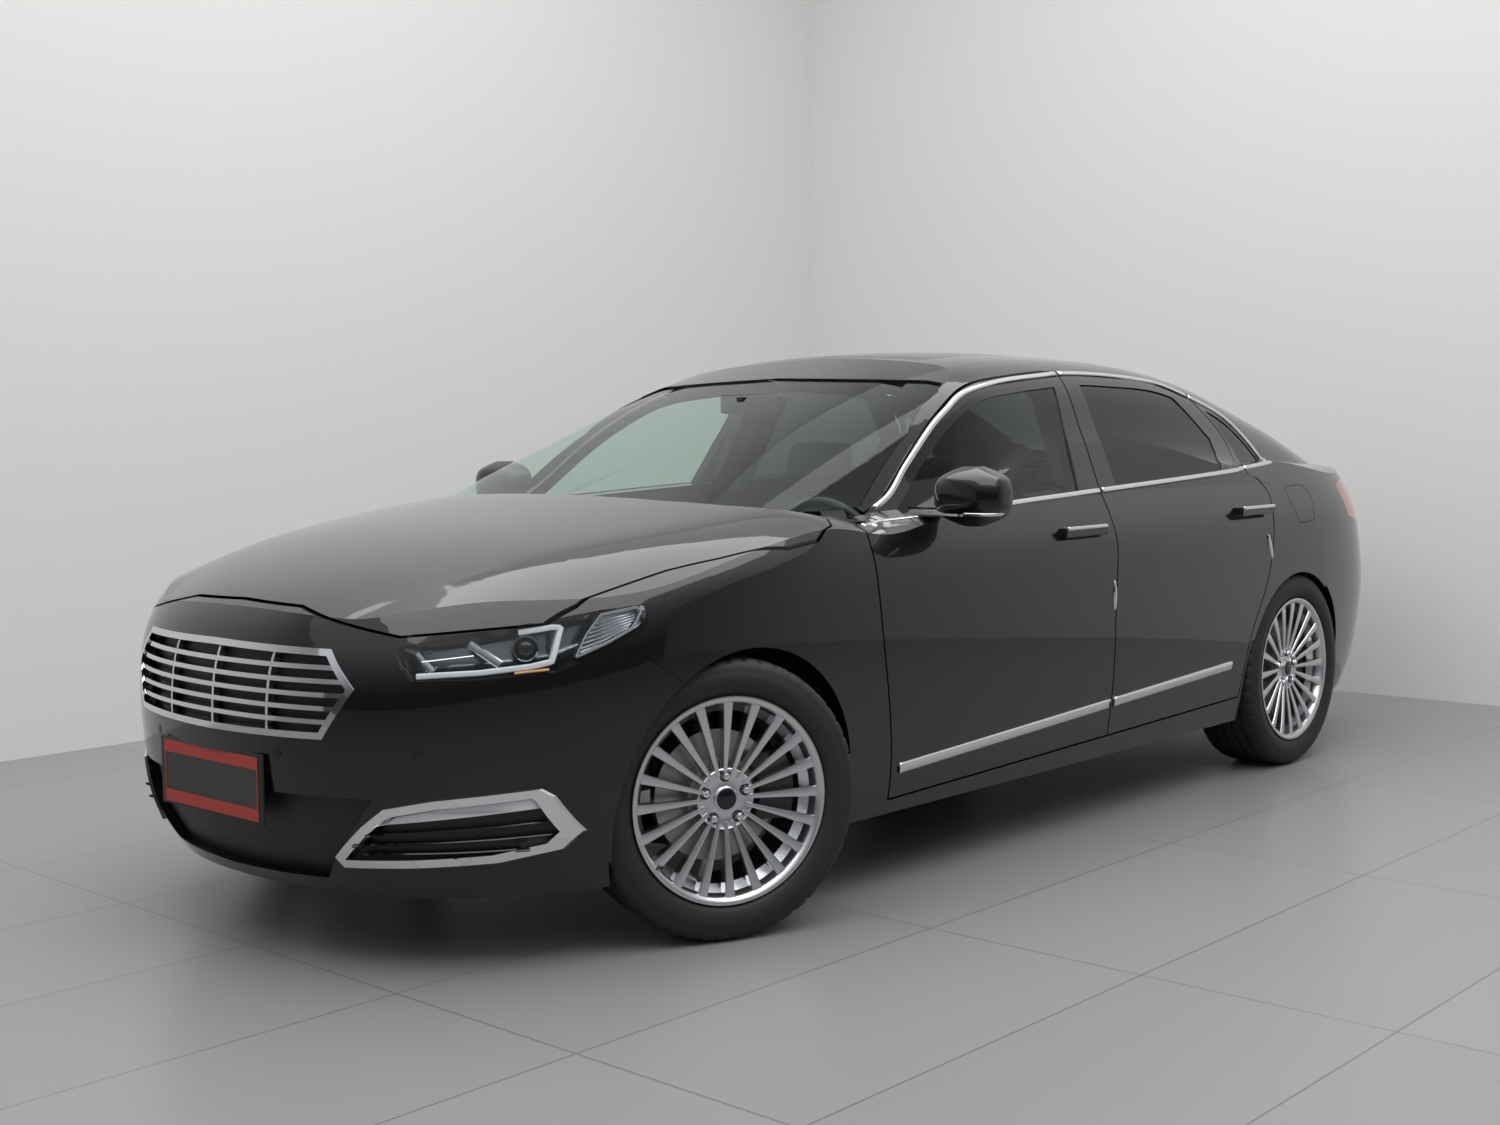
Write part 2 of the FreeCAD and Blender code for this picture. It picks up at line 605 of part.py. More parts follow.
HEADLAMP = [(541, 768), (561, 725), (588, 694), (700, 701), (799, 711), (842, 753), (863, 793), (862, 833),
            (855, 852), (818, 845), (758, 825), (619, 790), (558, 777)]
FOG = [(389, 281), (402, 255), (561, 262), (695, 271), (774, 293), (801, 332), (784, 423), (771, 443),
       (621, 425), (524, 404), (470, 359)]
GRILLE = both_sides([(0, SILL + 334), (393, SILL + 338), (469, SILL + 456), (393, SILL + 544), (0, SILL + 549)])
INTAKE = both_sides([(0, SILL - 12), (330, SILL - 4), (430, SILL + 110), (500, SILL + 203), (0, SILL + 203)])


def nose_hole(outline, grow):
    """An outline on the nose, grown, pushed along the car."""
    return front_prism(ring(inner_ring(outline, -grow)), ahead(300), NOSE)


lamp_hole = nose_hole(HEADLAMP, 0)
fog_hole = nose_hole(FOG, 0)
grille_hole = nose_hole(GRILLE, 0)
intake_hole = nose_hole(INTAKE, 0)

# Fenders, bumpers, body sides and lids from the left half of the skin or from all of it
FENDER_TIP = [(ahead(552), TOP), (ahead(552), SILL + 578), (ahead(367), SILL + 535), (ahead(310), SILL + 500),
              (ahead(249), SILL + 462), (ahead(180), SILL + 400), (ahead(180), -100)]
FENDER_SEAM = [(ahead(-650), SILL + 794), (ahead(-612), COWL - 24), (ahead(-560), COWL + 10), (NOSE, TOP)]
LOW = SILL - 14


def ahead_of_door(lift):
    """The space ahead of the front door and below the pillar, its upper seam lifted, as a prism across."""
    seam = moved(FENDER_SEAM, 0, lift)
    line = [FRONT_LINE] + ring_open([FRONT_LINE[-1], GLASS_TOP[0], GLASS_TOP[1], seam[0]])
    line += ring_open(seam + [(NOSE, FRONT_LINE[0][1]), FRONT_LINE[0]])
    return side_prism(line, INBOARD, EDGE)


def ahead_of_tip(shift):
    """The bumper's side of the line between bumper and fender."""
    return side_prism(ring(moved(FENDER_TIP, shift, 0) + [(NOSE, -100), (NOSE, TOP)]), -EDGE, EDGE)


front_arch = across(size("front_arch_radius"), FRONT_AXLE, ARCH_HEIGHT, 420, EDGE)
front_wheel_room = across(size("front_arch_radius") + 8, FRONT_AXLE, ARCH_HEIGHT, 420, 800)
front_arch = front_arch.fuse(front_wheel_room)
rear_arch = across(size("rear_arch_radius"), REAR_AXLE, ARCH_HEIGHT, 600, EDGE)
rear_wheel_room = across(size("rear_arch_radius") + 13, REAR_AXLE, ARCH_HEIGHT, 600, HALF_WIDTH - 13)
rear_arch = rear_arch.fuse(rear_wheel_room)
ground_cut = box(-NOSE, NOSE, -EDGE, EDGE, 0, LOW)
side_opening = door_opening.common(under_glass_line(-GAP, INBOARD, EDGE)).cut(
    headliner.translated(Vector(0, -GAP, GAP)))
fender = left_skin.common(ahead_of_door(0)).cut(
    [hood_room, ahead_of_tip(-1), lamp_hole, front_arch, ground_cut, cowl_room, screen_hole,
     box(ahead(-700), ahead(-560), 0, 760, COWL - 100, TOP)])
fender = fender.cut(side_opening)
front_skin = skin.common(ahead_of_tip(1)).cut(
    [hood_room, lamp_hole, mirrored(lamp_hole), fog_hole, mirrored(fog_hole), grille_hole, intake_hole,
     front_arch, mirrored(front_arch), box(-NOSE, NOSE, -EDGE, EDGE, 0, SILL - 44)])

LID_EDGE = 600
LID_FRONT = behind(676)
LID_LOW = SILL + 473
lid_zone = box(-NOSE, LID_FRONT, -LID_EDGE, LID_EDGE, LID_LOW, TOP)
lid_room = box(-NOSE, LID_FRONT + GAP, -LID_EDGE - GAP, LID_EDGE + GAP, LID_LOW - GAP, TOP)
trunk_lid = skin.common(lid_zone)
PLATE_FACE = HALF_LENGTH - 56
PLATE_HEIGHT = SILL + 598
lid_recess = box(-NOSE, -PLATE_FACE, -168, 168, PLATE_HEIGHT - 86, PLATE_HEIGHT + 86)
screws = [Part.makeCylinder(3.2, 80, Vector(-PLATE_FACE - 20, side * 177.8 / 2, PLATE_HEIGHT + rise * 120.65 / 2),
                            Vector(1, 0, 0)) for side in (-1, 1) for rise in (-1, 1)]
trunk_lid = trunk_lid.cut([lid_recess] + screws)
BUMPER_LINE = [(behind(250), SILL - 100), (behind(250), SILL + 230), (behind(310), SILL + 360),
               (behind(430), SILL + 498), (behind(560), SILL + 560), (-NOSE, SILL + 562), (-NOSE, SILL - 100)]
rear_bumper_zone = side_prism(ring(BUMPER_LINE), -EDGE, EDGE)
rear_bumper = skin.common(rear_bumper_zone).cut([lid_room, rear_arch, mirrored(rear_arch), ground_cut])
TAIL_LAMP = [(behind(510), SILL + 668), (behind(510), SILL + 782), (behind(600), SILL + 802),
             (-NOSE, SILL + 790), (-NOSE, SILL + 610), (behind(800), SILL + 615)]
tail_lamp_zone = side_prism(ring(TAIL_LAMP), LID_EDGE + GAP, EDGE)
tail_lamp = left_skin.common(tail_lamp_zone)

post_inside = body_band(DOOR + 80)
post = body_band(DOOR + 8).cut(post_inside)
centre_post = post.common(box(WAIST_X - 283, WAIST_X - 133, INBOARD, EDGE, LOW, COWL - 65))
hinge_post = body_band(DOOR + 22).cut(post_inside).common(
    box(ahead(-600), FIREWALL, INBOARD, EDGE, LOW, COWL - 30)).cut(screen_hole)
feet = body_band(DOOR - 10).cut(post_inside).common(
    box(WAIST_X - 283, WAIST_X - 133, INBOARD, EDGE, LOW, SILL + 22).fuse(
        box(ahead(-600), FIREWALL, INBOARD, EDGE, LOW, SILL + 22))).cut(fender)
post_form = inner_green.common(box(WAIST_X - 360, WAIST_X - 110, ROOF_EDGE + 20, EDGE, COWL - 130, TOP))
upper_post = post_form.translated(Vector(0, -GAP - 2, GAP)).cut(post_form.translated(Vector(0, -40, -30))).common(
    side_prism(ring([(WAIST_X - 280, COWL - 120), (WAIST_X - 140, COWL - 120), (WAIST_X - 240, TOP),
                     (WAIST_X - 340, TOP)]), ROOF_EDGE + 30, EDGE))
upper_post = cut_each(upper_post, [
    box(-NOSE, NOSE, 0, EDGE, 0, COWL - 20).cut(body_band(DOOR + 8)),
    box(-NOSE, NOSE, 624, EDGE, ROOF - 141, TOP),
    front_door.translated(Vector(0, -GAP, 0)), rear_door.translated(Vector(0, -GAP, 0))])
body_side = cut_each(left_skin, [
    box(-NOSE, NOSE, -EDGE, ROOF_EDGE, 0, TOP + 90), ground_cut, roof_zone, ahead_of_door(0), cowl_room, lid_room,
    rear_bumper_zone, tail_lamp_zone, rear_arch, side_opening, screen_hole, backlight_hole, quarter_pane])
for piece in (centre_post, hinge_post, feet, upper_post):
    body_side = body_side.fuse(piece)


# Trailing edges of the doors, set back inside so that they swing past their neighbours
RELIEF = 20
BODY_LIP = 14
FRAME_LIP = 6
body_inside = outer_low.translated(Vector(0, -BODY_LIP, 0))
frame_inside = outer_green.translated(Vector(0, -FRAME_LIP, 0))
front_relief = column(moved(B_LINE, SHUT + RELIEF, 0), moved(B_LINE, SHUT, 0), 0, INBOARD, EDGE)
rear_relief = column(moved(rear_edge, RELIEF, 0), rear_edge, 0, INBOARD, EDGE)
front_door = cut_each(front_door, [front_relief.common(body_inside), front_relief.common(frame_inside)])
rear_door = cut_each(rear_door, [rear_relief.common(body_inside), rear_relief.common(frame_inside)])

# Cowl, firewall, floor, parcel shelf, wheel liners
front_room = lower_body(SKIN + SEAT_GAP, HOOD + SEAT_GAP)
door_clear = side_opening.cut(body_band(DOOR + GAP + 2))
door_clears = [door_clear, mirrored(door_clear)]
SHELF_TOP = COWL - 80
SHELF_END = ahead(-200)
cowl = skin.common(cowl_room).cut(box(-NOSE, ahead(-500), -EDGE, EDGE, 0, TOP)).translated(
    Vector(0, 0, -COWL_DROP)).cut([outer_green, hood_room, side_opening, mirrored(side_opening)])
cowl = cowl.fuse(box(SHELF_END - 20, SHELF_END - 10, -410, 410, SHELF_TOP + SEAT_GAP, COWL - 40).cut(outer_green))
firewall_shape = side_prism(ring([(FIREWALL + SEAT_GAP, SILL + 20), (FIREWALL + 14, SILL + 20),
                                  (FIREWALL + 14, SHELF_TOP - 12), (SHELF_END, SHELF_TOP - 12),
                                  (SHELF_END, SHELF_TOP), (FIREWALL + SEAT_GAP, SHELF_TOP)]),
                            -EDGE, EDGE).common(front_room)
shelf_rim = box(FIREWALL + 14, NOSE, -EDGE, EDGE, SHELF_TOP - 20, TOP).cut(lower_body(SKIN + GAP, HOOD + GAP))
shelf_corner = box(FIREWALL - 5, ahead(-490), 728, EDGE, SHELF_TOP - 40, TOP)
firewall_shape = firewall_shape.cut([shelf_rim, shelf_corner, mirrored(shelf_corner)] + door_clears)
RAIL_Z = SILL + 70
rails = [box(FIREWALL + 14, ahead(760), side * 410 - 28, side * 410 + 28, RAIL_Z, RAIL_Z + 90) for side in (-1, 1)]
support = box(ahead(740), ahead(760), -382, 382, RAIL_Z, RAIL_Z + 60)
firewall_shape = firewall_shape.fuse(rails + [support]).cut(cowl)
FLOOR = size("floor_thickness")
KICK_X = behind(-466)
BOOT_FLOOR = SILL + 200
TUB_Y = 632
tub = side_prism(ring([(KICK_X, SILL + 14), (KICK_X, FLOOR_TOP), (KICK_X - 60, BOOT_FLOOR),
                       (-HALF_LENGTH + 90, BOOT_FLOOR), (-HALF_LENGTH + 90, BOOT_FLOOR - FLOOR),
                       (KICK_X - 50, BOOT_FLOOR - FLOOR)]), -TUB_Y, TUB_Y)
floor_room = body_band(DOOR + SEAT_GAP)
post_rooms = [box(WAIST_X - 283 - GAP, WAIST_X - 133 + GAP, 660, EDGE, 0, ROOF),
              box(ahead(-600) - GAP, NOSE, 620, EDGE, 0, ROOF)]
floor_pan = box(KICK_X, FIREWALL, -EDGE, EDGE, SILL + 14, FLOOR_TOP).common(floor_room).cut(
    post_rooms + [mirrored(room) for room in post_rooms] + door_clears).fuse(tub.common(inner_low))
SHELF_Z = COWL - 25
parcel_shelf = box(behind(600), SEAT_BULKHEAD - SEAT_GAP, -ROOF_EDGE, ROOF_EDGE, SHELF_Z - 16, SHELF_Z).fuse(
    box(SEAT_BULKHEAD - 16, SEAT_BULKHEAD - SEAT_GAP, -ROOF_EDGE, ROOF_EDGE, BOOT_FLOOR + SEAT_GAP, SHELF_Z))
rear_strip = skin.common(box(LID_FRONT + GAP, behind(560), -ROOF_EDGE, ROOF_EDGE, SHELF_Z - 40, TOP)).cut(
    backlight_hole)
shelf_lip = box(behind(600), behind(590), -500, 500, SHELF_Z - 10, DECK - 20)
parcel_shelf = parcel_shelf.fuse([shelf_lip, rear_strip])
HINGE_X = LID_FRONT + GAP / 2
HINGE_Z = DECK + 6
BARREL = GAP / 2 - SEAT_GAP
for side in (-1, 1):
    middle = side * 60
    lid_barrel = across(BARREL, HINGE_X, HINGE_Z, middle - 20, middle + 20)
    lid_leaf = box(LID_FRONT - 2, HINGE_X, middle - 20, middle + 20, HINGE_Z - BARREL, HINGE_Z)
    trunk_lid = trunk_lid.fuse([lid_barrel, lid_leaf])
    for start in (middle - 45, middle + 20 + SEAT_GAP):
        body_barrel = across(BARREL, HINGE_X, HINGE_Z, start, start + 25 - SEAT_GAP)
        body_leaf = box(HINGE_X, LID_FRONT + GAP + 2, start, start + 25 - SEAT_GAP, HINGE_Z - BARREL, HINGE_Z)
        parcel_shelf = parcel_shelf.fuse([body_barrel, body_leaf])


def liner(radius, wall, x, inner_y, room):
    """A wheel arch liner: the upper part of a thin drum across the car, fitted inside the body."""
    drum = across(radius + wall, x, ARCH_HEIGHT, inner_y, EDGE).cut(
        across(radius, x, ARCH_HEIGHT, inner_y - 5, EDGE + 5))
    return drum.common(room).common(box(x - 600, x + 600, 0, EDGE, AXLE_HEIGHT - 60, ROOF))


front_liner = liner(size("wheelhouse_radius"), 4, FRONT_AXLE, 470, front_room)
rear_liner = liner(size("rear_arch_radius") + 13, 4, REAR_AXLE, TUB_Y + 6, floor_room.common(front_room))
rear_liner_wall = across(size("rear_arch_radius") + 17, REAR_AXLE, ARCH_HEIGHT, TUB_Y + SEAT_GAP, TUB_Y + 6).common(
    box(REAR_AXLE - 600, REAR_AXLE + 600, 0, EDGE, BOOT_FLOOR - FLOOR, ROOF))
rear_liner = rear_liner.fuse(rear_liner_wall)

# Grille: chrome frame, bars and a dark mesh behind
def nose_reach(y, z):
    """How far ahead the nose's skin stands at a place seen from ahead."""
    inside = max(1 - (abs(y) / side_line(z)) ** FRONT_ROUND, 0.02)
    return WAIST_X + (nose_line(z) - WAIST_X) * inside ** (1 / FRONT_SQUARE)


def nose_sheet(front, back, low_y=-540, high_y=540, low_z=SILL - 60, high_z=SILL + 600):
    """A layer of the nose between two distances behind the skin."""
    rows = [[Vector(nose_reach(y, z) - front, y, z) for y in spread(low_y, high_y, 15)]
            for z in spread(low_z, high_z, 9)]
    knots_z, repeats_z = clamped(len(rows))
    knots_y, repeats_y = clamped(len(rows[0]))
    surface = Part.BSplineSurface()
    surface.buildFromPolesMultsKnots(rows, repeats_z, repeats_y, knots_z, knots_y, False, False, 3, 3)
    return surface.toShape().extrude(Vector(front - back, 0, 0))


frame_hole = nose_hole(inner_ring(GRILLE, SEAT_GAP), 0)
frame_inner = nose_hole(inner_ring(GRILLE, 16), 0)
grille_frame = nose_sheet(-2, 34).common(frame_hole.cut(frame_inner))
BAR_RISE = 31.0
bars = [box(ahead(700), NOSE, -EDGE, EDGE, SILL + 372 + i * BAR_RISE, SILL + 372 + i * BAR_RISE + 11)
        for i in range(5)]
grille_bars = nose_sheet(4, 26).common(nose_hole(inner_ring(GRILLE, 15), 0)).common(bars[0].fuse(bars[1:]))
grille_mesh = nose_sheet(40, 46).common(nose_hole(inner_ring(GRILLE, 4), 0))
grille_ties = [box(ahead(800), ahead(948), y - 4, y + 4, SILL + 340, SILL + 540) for y in (-210, 0, 210)]
tie_room = nose_sheet(18, 46)
grille_ties = [tie.common(tie_room) for tie in grille_ties]
front_bumper = front_skin
grille = grille_frame.fuse([grille_bars, grille_mesh] + grille_ties)
intake_mesh = nose_sheet(30, 36).common(nose_hole(inner_ring(INTAKE, SEAT_GAP), 0))

# Lamps and fog trims
lamp_lens = left_skin.common(nose_hole(inner_ring(HEADLAMP, SEAT_GAP), 0)).cut([hood_room, front_arch])
fog_ring = nose_sheet(-5, 30, 360, 840, SILL, SILL + 260).common(nose_hole(inner_ring(FOG, SEAT_GAP), 0).cut(nose_hole(inner_ring(FOG, 20), 0)))
fog_back = nose_sheet(30, 34, 360, 840, SILL, SILL + 260).common(nose_hole(inner_ring(FOG, SEAT_GAP), 0))
fog_trim = fog_ring.fuse(fog_back).common(box(0, NOSE, 300, EDGE, 0, TOP))

# Chrome line round the side glass and along the doors' feet, standing a little proud; handles
CHROME = size("chrome_height")
PROUD = 5
chrome_zone = under_glass_line(0, INBOARD, EDGE).common(over_belt_line(0, INBOARD, EDGE)).cut(
    under_glass_line(CHROME, INBOARD, EDGE).common(over_belt_line(CHROME, INBOARD, EDGE)))
chrome_line = outer_green.translated(Vector(0, PROUD, 0)).common(chrome_zone).cut(outer_form)
STRIP = size("strip_height")
strip_zone = side_prism(ring([(ahead(-599), SILL + 112 - STRIP / 2), (ahead(-599), SILL + 112 + STRIP / 2 - 6),
                              (behind(-498), SILL + 193 + STRIP / 2), (behind(-498), SILL + 193 - STRIP / 2)]),
                        INBOARD, EDGE)
strip_line = outer_low.translated(Vector(0, PROUD, 0)).common(strip_zone).cut(outer_low)


def handle(front, rear, middle_height):
    """A door handle: a rounded blade standing off the door on its two ends."""
    height = 34
    blade = box(rear, front, HALF_WIDTH - 16, HALF_WIDTH - 3, middle_height - height / 2, middle_height + height / 2)
    blade = blade.makeFillet(6, blade.Edges)
    ends = [box(x - 16, x + 16, HALF_WIDTH - 50, HALF_WIDTH - 10, middle_height - 12, middle_height + 12)
            for x in (front - 26, rear + 26)]
    return blade.fuse(ends)


front_strip = strip_line.common(front_door_column)
rear_strip_line = strip_line.common(rear_door_column)
door_chrome = chrome_line.cut(headliner)
front_door = front_door.fuse([door_chrome.common(front_door_column), front_strip,
                              handle(WAIST_X + 92, WAIST_X - 150, COWL - 152)])
rear_door = rear_door.fuse([door_chrome.common(rear_door_column), rear_strip_line,
                            handle(behind(-453), behind(-205), COWL - 137)])
body_side = body_side.fuse(chrome_line.cut(door_opening))

# Door mirrors
MIRROR = (ahead(-828), HALF_WIDTH + 51, COWL - 20)
MIRROR_HALF = (74.0, 112.0, 82.0)
MIRROR_ROUND = 3.2
mirror_loops = []
for level in spread(-1, 1, 9):
    share = (1 - 0.93 * abs(level) ** 3.2) ** 0.5
    loop = []
    for step in range(20):
        angle = 2 * math.pi * (step + 0.5) / 20
        forward = math.copysign(abs(math.cos(angle)) ** (2 / MIRROR_ROUND), math.cos(angle))
        sideways = math.copysign(abs(math.sin(angle)) ** (2 / MIRROR_ROUND), math.sin(angle))
        loop.append(Vector(MIRROR[0] + forward * MIRROR_HALF[0] * share, MIRROR[1] + sideways * MIRROR_HALF[1] * share,
                           MIRROR[2] + level * MIRROR_HALF[2]))
    mirror_loops.append(loop)
mirror_head = looped_solid(mirror_loops).common(
    box(MIRROR[0] - 30, MIRROR[0] + 90, INBOARD, EDGE + 200, COWL - 200, TOP))
mirror_foot = box(MIRROR[0] - 20, MIRROR[0] + 50, MIRROR[1] - 190, MIRROR[1] - 60, COWL - 78, COWL - 52)
mirror = mirror_head.fuse(mirror_foot).cut(left_skin.fuse(front_pane))


# Wheels and tyres, drawn round the wheel's centre with the outer side towards +Y
def revolved(profile):
    """A solid turned round the Y axis from a closed outline of radius and width pairs."""
    points = [Vector(radius, width, 0) for radius, width in profile]
    face = Part.Face(Part.makePolygon(points + [points[0]]))
    return face.revolve(Vector(0, 0, 0), Vector(0, 1, 0), 360)


TYRE = size("tyre_radius")
HALF_TYRE = size("tyre_width") / 2
FLANGE = size("flange_radius")
HALF_RIM = size("rim_width") / 2
WALL = size("rim_wall")
SEAT = FLANGE - 17
half_tyre = [(SEAT + SEAT_GAP, HALF_RIM - 12), (FLANGE + 2, HALF_RIM - 8), (FLANGE + 14, HALF_RIM + 3),
             (FLANGE + 42, HALF_TYRE), (TYRE - 24, HALF_TYRE - 3), (TYRE - 6, HALF_TYRE - 15),
             (TYRE, HALF_TYRE - 32)]
inner_tyre = [(TYRE - 14, HALF_TYRE - 34), (FLANGE + 40, HALF_TYRE - 11), (SEAT + SEAT_GAP, HALF_RIM - 26)]
tyre = revolved(half_tyre + [(r, -w) for r, w in reversed(half_tyre)] + [(r, -w) for r, w in reversed(inner_tyre)]
                + inner_tyre)
half_barrel = [(FLANGE, HALF_RIM), (FLANGE, HALF_RIM - 7), (SEAT, HALF_RIM - 11), (SEAT, HALF_RIM - 40),
               (SEAT - 16, HALF_RIM - 54)]
half_bore = [(SEAT - WALL + 2, HALF_RIM - 4), (SEAT - WALL, HALF_RIM - 44), (SEAT - WALL - 16, HALF_RIM - 58)]
barrel = revolved(half_barrel + [(r, -w) for r, w in reversed(half_barrel)] + [(r, -w) for r, w in half_bore]
                  + list(reversed(half_bore)))
HUB_FACE = 80
HUB_BACK = 55
HUB_RADIUS = 76
STUB = 25
RUNNING = 0.3
BOLT_CIRCLE = 57.15
SPOKE = size("spoke_depth")
hub = revolved([(0, HUB_BACK + 12), (0, HUB_FACE + 8), (30, HUB_FACE + 6), (33, HUB_FACE), (HUB_RADIUS, HUB_FACE),
                (HUB_RADIUS, HUB_BACK), (STUB + RUNNING, HUB_BACK), (STUB + RUNNING, HUB_BACK + 12)])
spoke_side = Part.Face(Part.makePolygon([Vector(60, HUB_FACE - SPOKE, -20), Vector(64, HUB_FACE + 3, -20),
                                         Vector(SEAT - 20, HALF_RIM - 6, -20), Vector(SEAT - 3, HALF_RIM - 7, -20),
                                         Vector(SEAT - 3, HALF_RIM - 40, -20), Vector(60, HUB_FACE - SPOKE, -20)]
                                        )).extrude(Vector(0, 0, 40))
spoke_face = Part.Face(Part.makePolygon([Vector(60, 0, -6.5), Vector(SEAT - 3, 0, -13), Vector(SEAT - 3, 0, 13),
                                         Vector(60, 0, 6.5), Vector(60, 0, -6.5)])).extrude(Vector(0, 200, 0))
spoke = spoke_side.common(spoke_face)
SPOKES = int(size("spoke_count"))
spokes = []
for i in range(SPOKES):
    turned = spoke.copy()
    turned.rotate(Vector(0, 0, 0), Vector(0, 1, 0), 360.0 * i / SPOKES)
    spokes.append(turned)
nuts = []
for i in range(5):
    angle = 2 * math.pi * i / 5
    nuts.append(Part.makeCylinder(9.5, 16, Vector(BOLT_CIRCLE * math.cos(angle), HUB_FACE - 4,
                                                  BOLT_CIRCLE * math.sin(angle)), Vector(0, 1, 0)))
DISC = size("disc_radius")
DISC_WIDE = size("disc_thickness")
disc = revolved([(85, -6), (DISC, -6), (DISC, -6 + DISC_WIDE), (92, -6 + DISC_WIDE), (92, HUB_BACK),
                 (STUB + RUNNING, HUB_BACK), (STUB + RUNNING, HUB_BACK - 9), (85, HUB_BACK - 9)])
wheel = barrel.fuse([hub, disc] + spokes + nuts)

# Knuckle with its pins, stub axle and brake caliper, drawn round the same centre
KINGPIN = size("kingpin_offset")
PIN = 14
knuckle = box(-28, 28, -KINGPIN - 20, -KINGPIN + 20, -118, 170)
knuckle = knuckle.makeFillet(8, knuckle.Edges)
stub = Part.makeCylinder(STUB, KINGPIN + HUB_BACK + 6, Vector(0, -KINGPIN, 0), Vector(0, 1, 0))
pins = [Part.makeCylinder(PIN, 40, Vector(0, -KINGPIN, -150)), Part.makeCylinder(PIN, 40, Vector(0, -KINGPIN, 160))]
caliper = across(DISC + 38, 0, 0, -36, 48).cut(across(DISC - 55, 0, 0, -40, 52)).cut(
    across(DISC + 5, 0, 0, -6 - 6, DISC_WIDE)).common(box(-260, -60, -60, 60, -70, 100))
bracket = box(-150, -20, -KINGPIN - 10, -34, -25, 30)
knuckle = knuckle.fuse([stub] + pins)
caliper_arm = box(-150, -20, -58, -30, -20, 40)
knuckle = knuckle.fuse([bracket, caliper_arm, caliper])

# Suspension arms, rear carriers and springs
def arm(root_x, root_y, half_root, low, high):
    """A tapering arm from the frame out to a kingpin eye, seen from above."""
    tip_y = size("half_track") - KINGPIN
    plan = plan_prism(ring([(root_x - half_root, root_y), (root_x + half_root, root_y), (FRONT_AXLE + 26, tip_y),
                            (FRONT_AXLE - 26, tip_y)]), low, high)
    eye = Part.makeCylinder(28, high - low, Vector(FRONT_AXLE, tip_y, low))
    bore = Part.makeCylinder(PIN + RUNNING, high - low + 20, Vector(FRONT_AXLE, tip_y, low - 10))
    return plan.fuse(eye).cut(bore)


LOWER_ARM = (AXLE_HEIGHT - 148, AXLE_HEIGHT - 124)
UPPER_ARM = (AXLE_HEIGHT + 176, AXLE_HEIGHT + 198)
RAIL_OUT = 410 + 28
lower_arm = arm(FRONT_AXLE, RAIL_OUT - 60, 130, LOWER_ARM[0], LOWER_ARM[1])
upper_arm = arm(FRONT_AXLE + 130, RAIL_OUT - 50, 30, UPPER_ARM[0], UPPER_ARM[1])
SPRING_Y = 545
damper = Part.makeCylinder(24, ROOF, Vector(FRONT_AXLE - 40, SPRING_Y, LOWER_ARM[1] - 4)).fuse(
    Part.makeCylinder(52, ROOF, Vector(FRONT_AXLE - 40, SPRING_Y, AXLE_HEIGHT + 60))).common(
    across(size("wheelhouse_radius") - SEAT_GAP, FRONT_AXLE, ARCH_HEIGHT, 0, EDGE))
tower = box(FRONT_AXLE + 100, FRONT_AXLE + 160, RAIL_OUT - 60, RAIL_OUT - 10, RAIL_Z + 90 + SEAT_GAP, UPPER_ARM[1])
front_side = lower_arm.fuse([upper_arm, damper, tower])
cross = box(FRONT_AXLE - 110, FRONT_AXLE + 110, -RAIL_OUT + 50, RAIL_OUT - 50, LOWER_ARM[0], RAIL_Z - SEAT_GAP)
front_frame = cross.fuse([front_side, mirrored(front_side)])

REAR_TRACK = size("half_track")
rear_cross = box(REAR_AXLE - 110, REAR_AXLE + 110, -430, 430, SILL + 30, BOOT_FLOOR - FLOOR - SEAT_GAP)
rear_arm = box(REAR_AXLE - 70, REAR_AXLE + 70, 420, REAR_TRACK - KINGPIN + 20, AXLE_HEIGHT - 136, AXLE_HEIGHT - 110)
rear_shaft = across(STUB, REAR_AXLE, AXLE_HEIGHT, 420, REAR_TRACK + HUB_BACK + 6)
rear_carrier = box(REAR_AXLE - 34, REAR_AXLE + 34, REAR_TRACK - KINGPIN - 20, REAR_TRACK - KINGPIN + 20,
                   AXLE_HEIGHT - 120, AXLE_HEIGHT + 60)
rear_caliper = caliper.fuse([bracket, caliper_arm]).translated(Vector(REAR_AXLE, REAR_TRACK, AXLE_HEIGHT))
rear_spring = Part.makeCylinder(48, BOOT_FLOOR - FLOOR - SEAT_GAP - AXLE_HEIGHT + 115,
                                Vector(REAR_AXLE, 560, AXLE_HEIGHT - 115))
rear_side = rear_arm.fuse([rear_shaft, rear_carrier, rear_caliper, rear_spring])
rear_frame = rear_cross.fuse([rear_side, mirrored(rear_side)])

# Engine, exhaust and cabin
engine = box(ahead(-390), ahead(407), -330, 330, RAIL_Z, SILL + 690)
engine = engine.makeFillet(40, engine.Edges).cut([front_frame] + rails)
PIPE = 30
PIPE_RUN = 2880
exhaust_run = [Part.makeCylinder(PIPE, PIPE_RUN, Vector(ahead(-520) - PIPE_RUN, side * 120, SILL + 14 - PIPE),
                                 Vector(1, 0, 0)) for side in (-1, 1)]
silencers = []
for zone in [box(behind(820), behind(400), side * 400 - 160, side * 400 + 160, SILL + 10,
                 BOOT_FLOOR - FLOOR - SEAT_GAP) for side in (-1, 1)]:
    silencers.append(zone.makeFillet(50, [edge for edge in zone.Edges if edge.BoundBox.XLength > 300]))
links = [box(behind(470), behind(410), min(side * 120, side * 300), max(side * 120, side * 300),
             SILL - 18, SILL + 14 + 40) for side in (-1, 1)]
exhaust = exhaust_run[0].fuse(exhaust_run[1:] + silencers + links).cut(rear_frame)

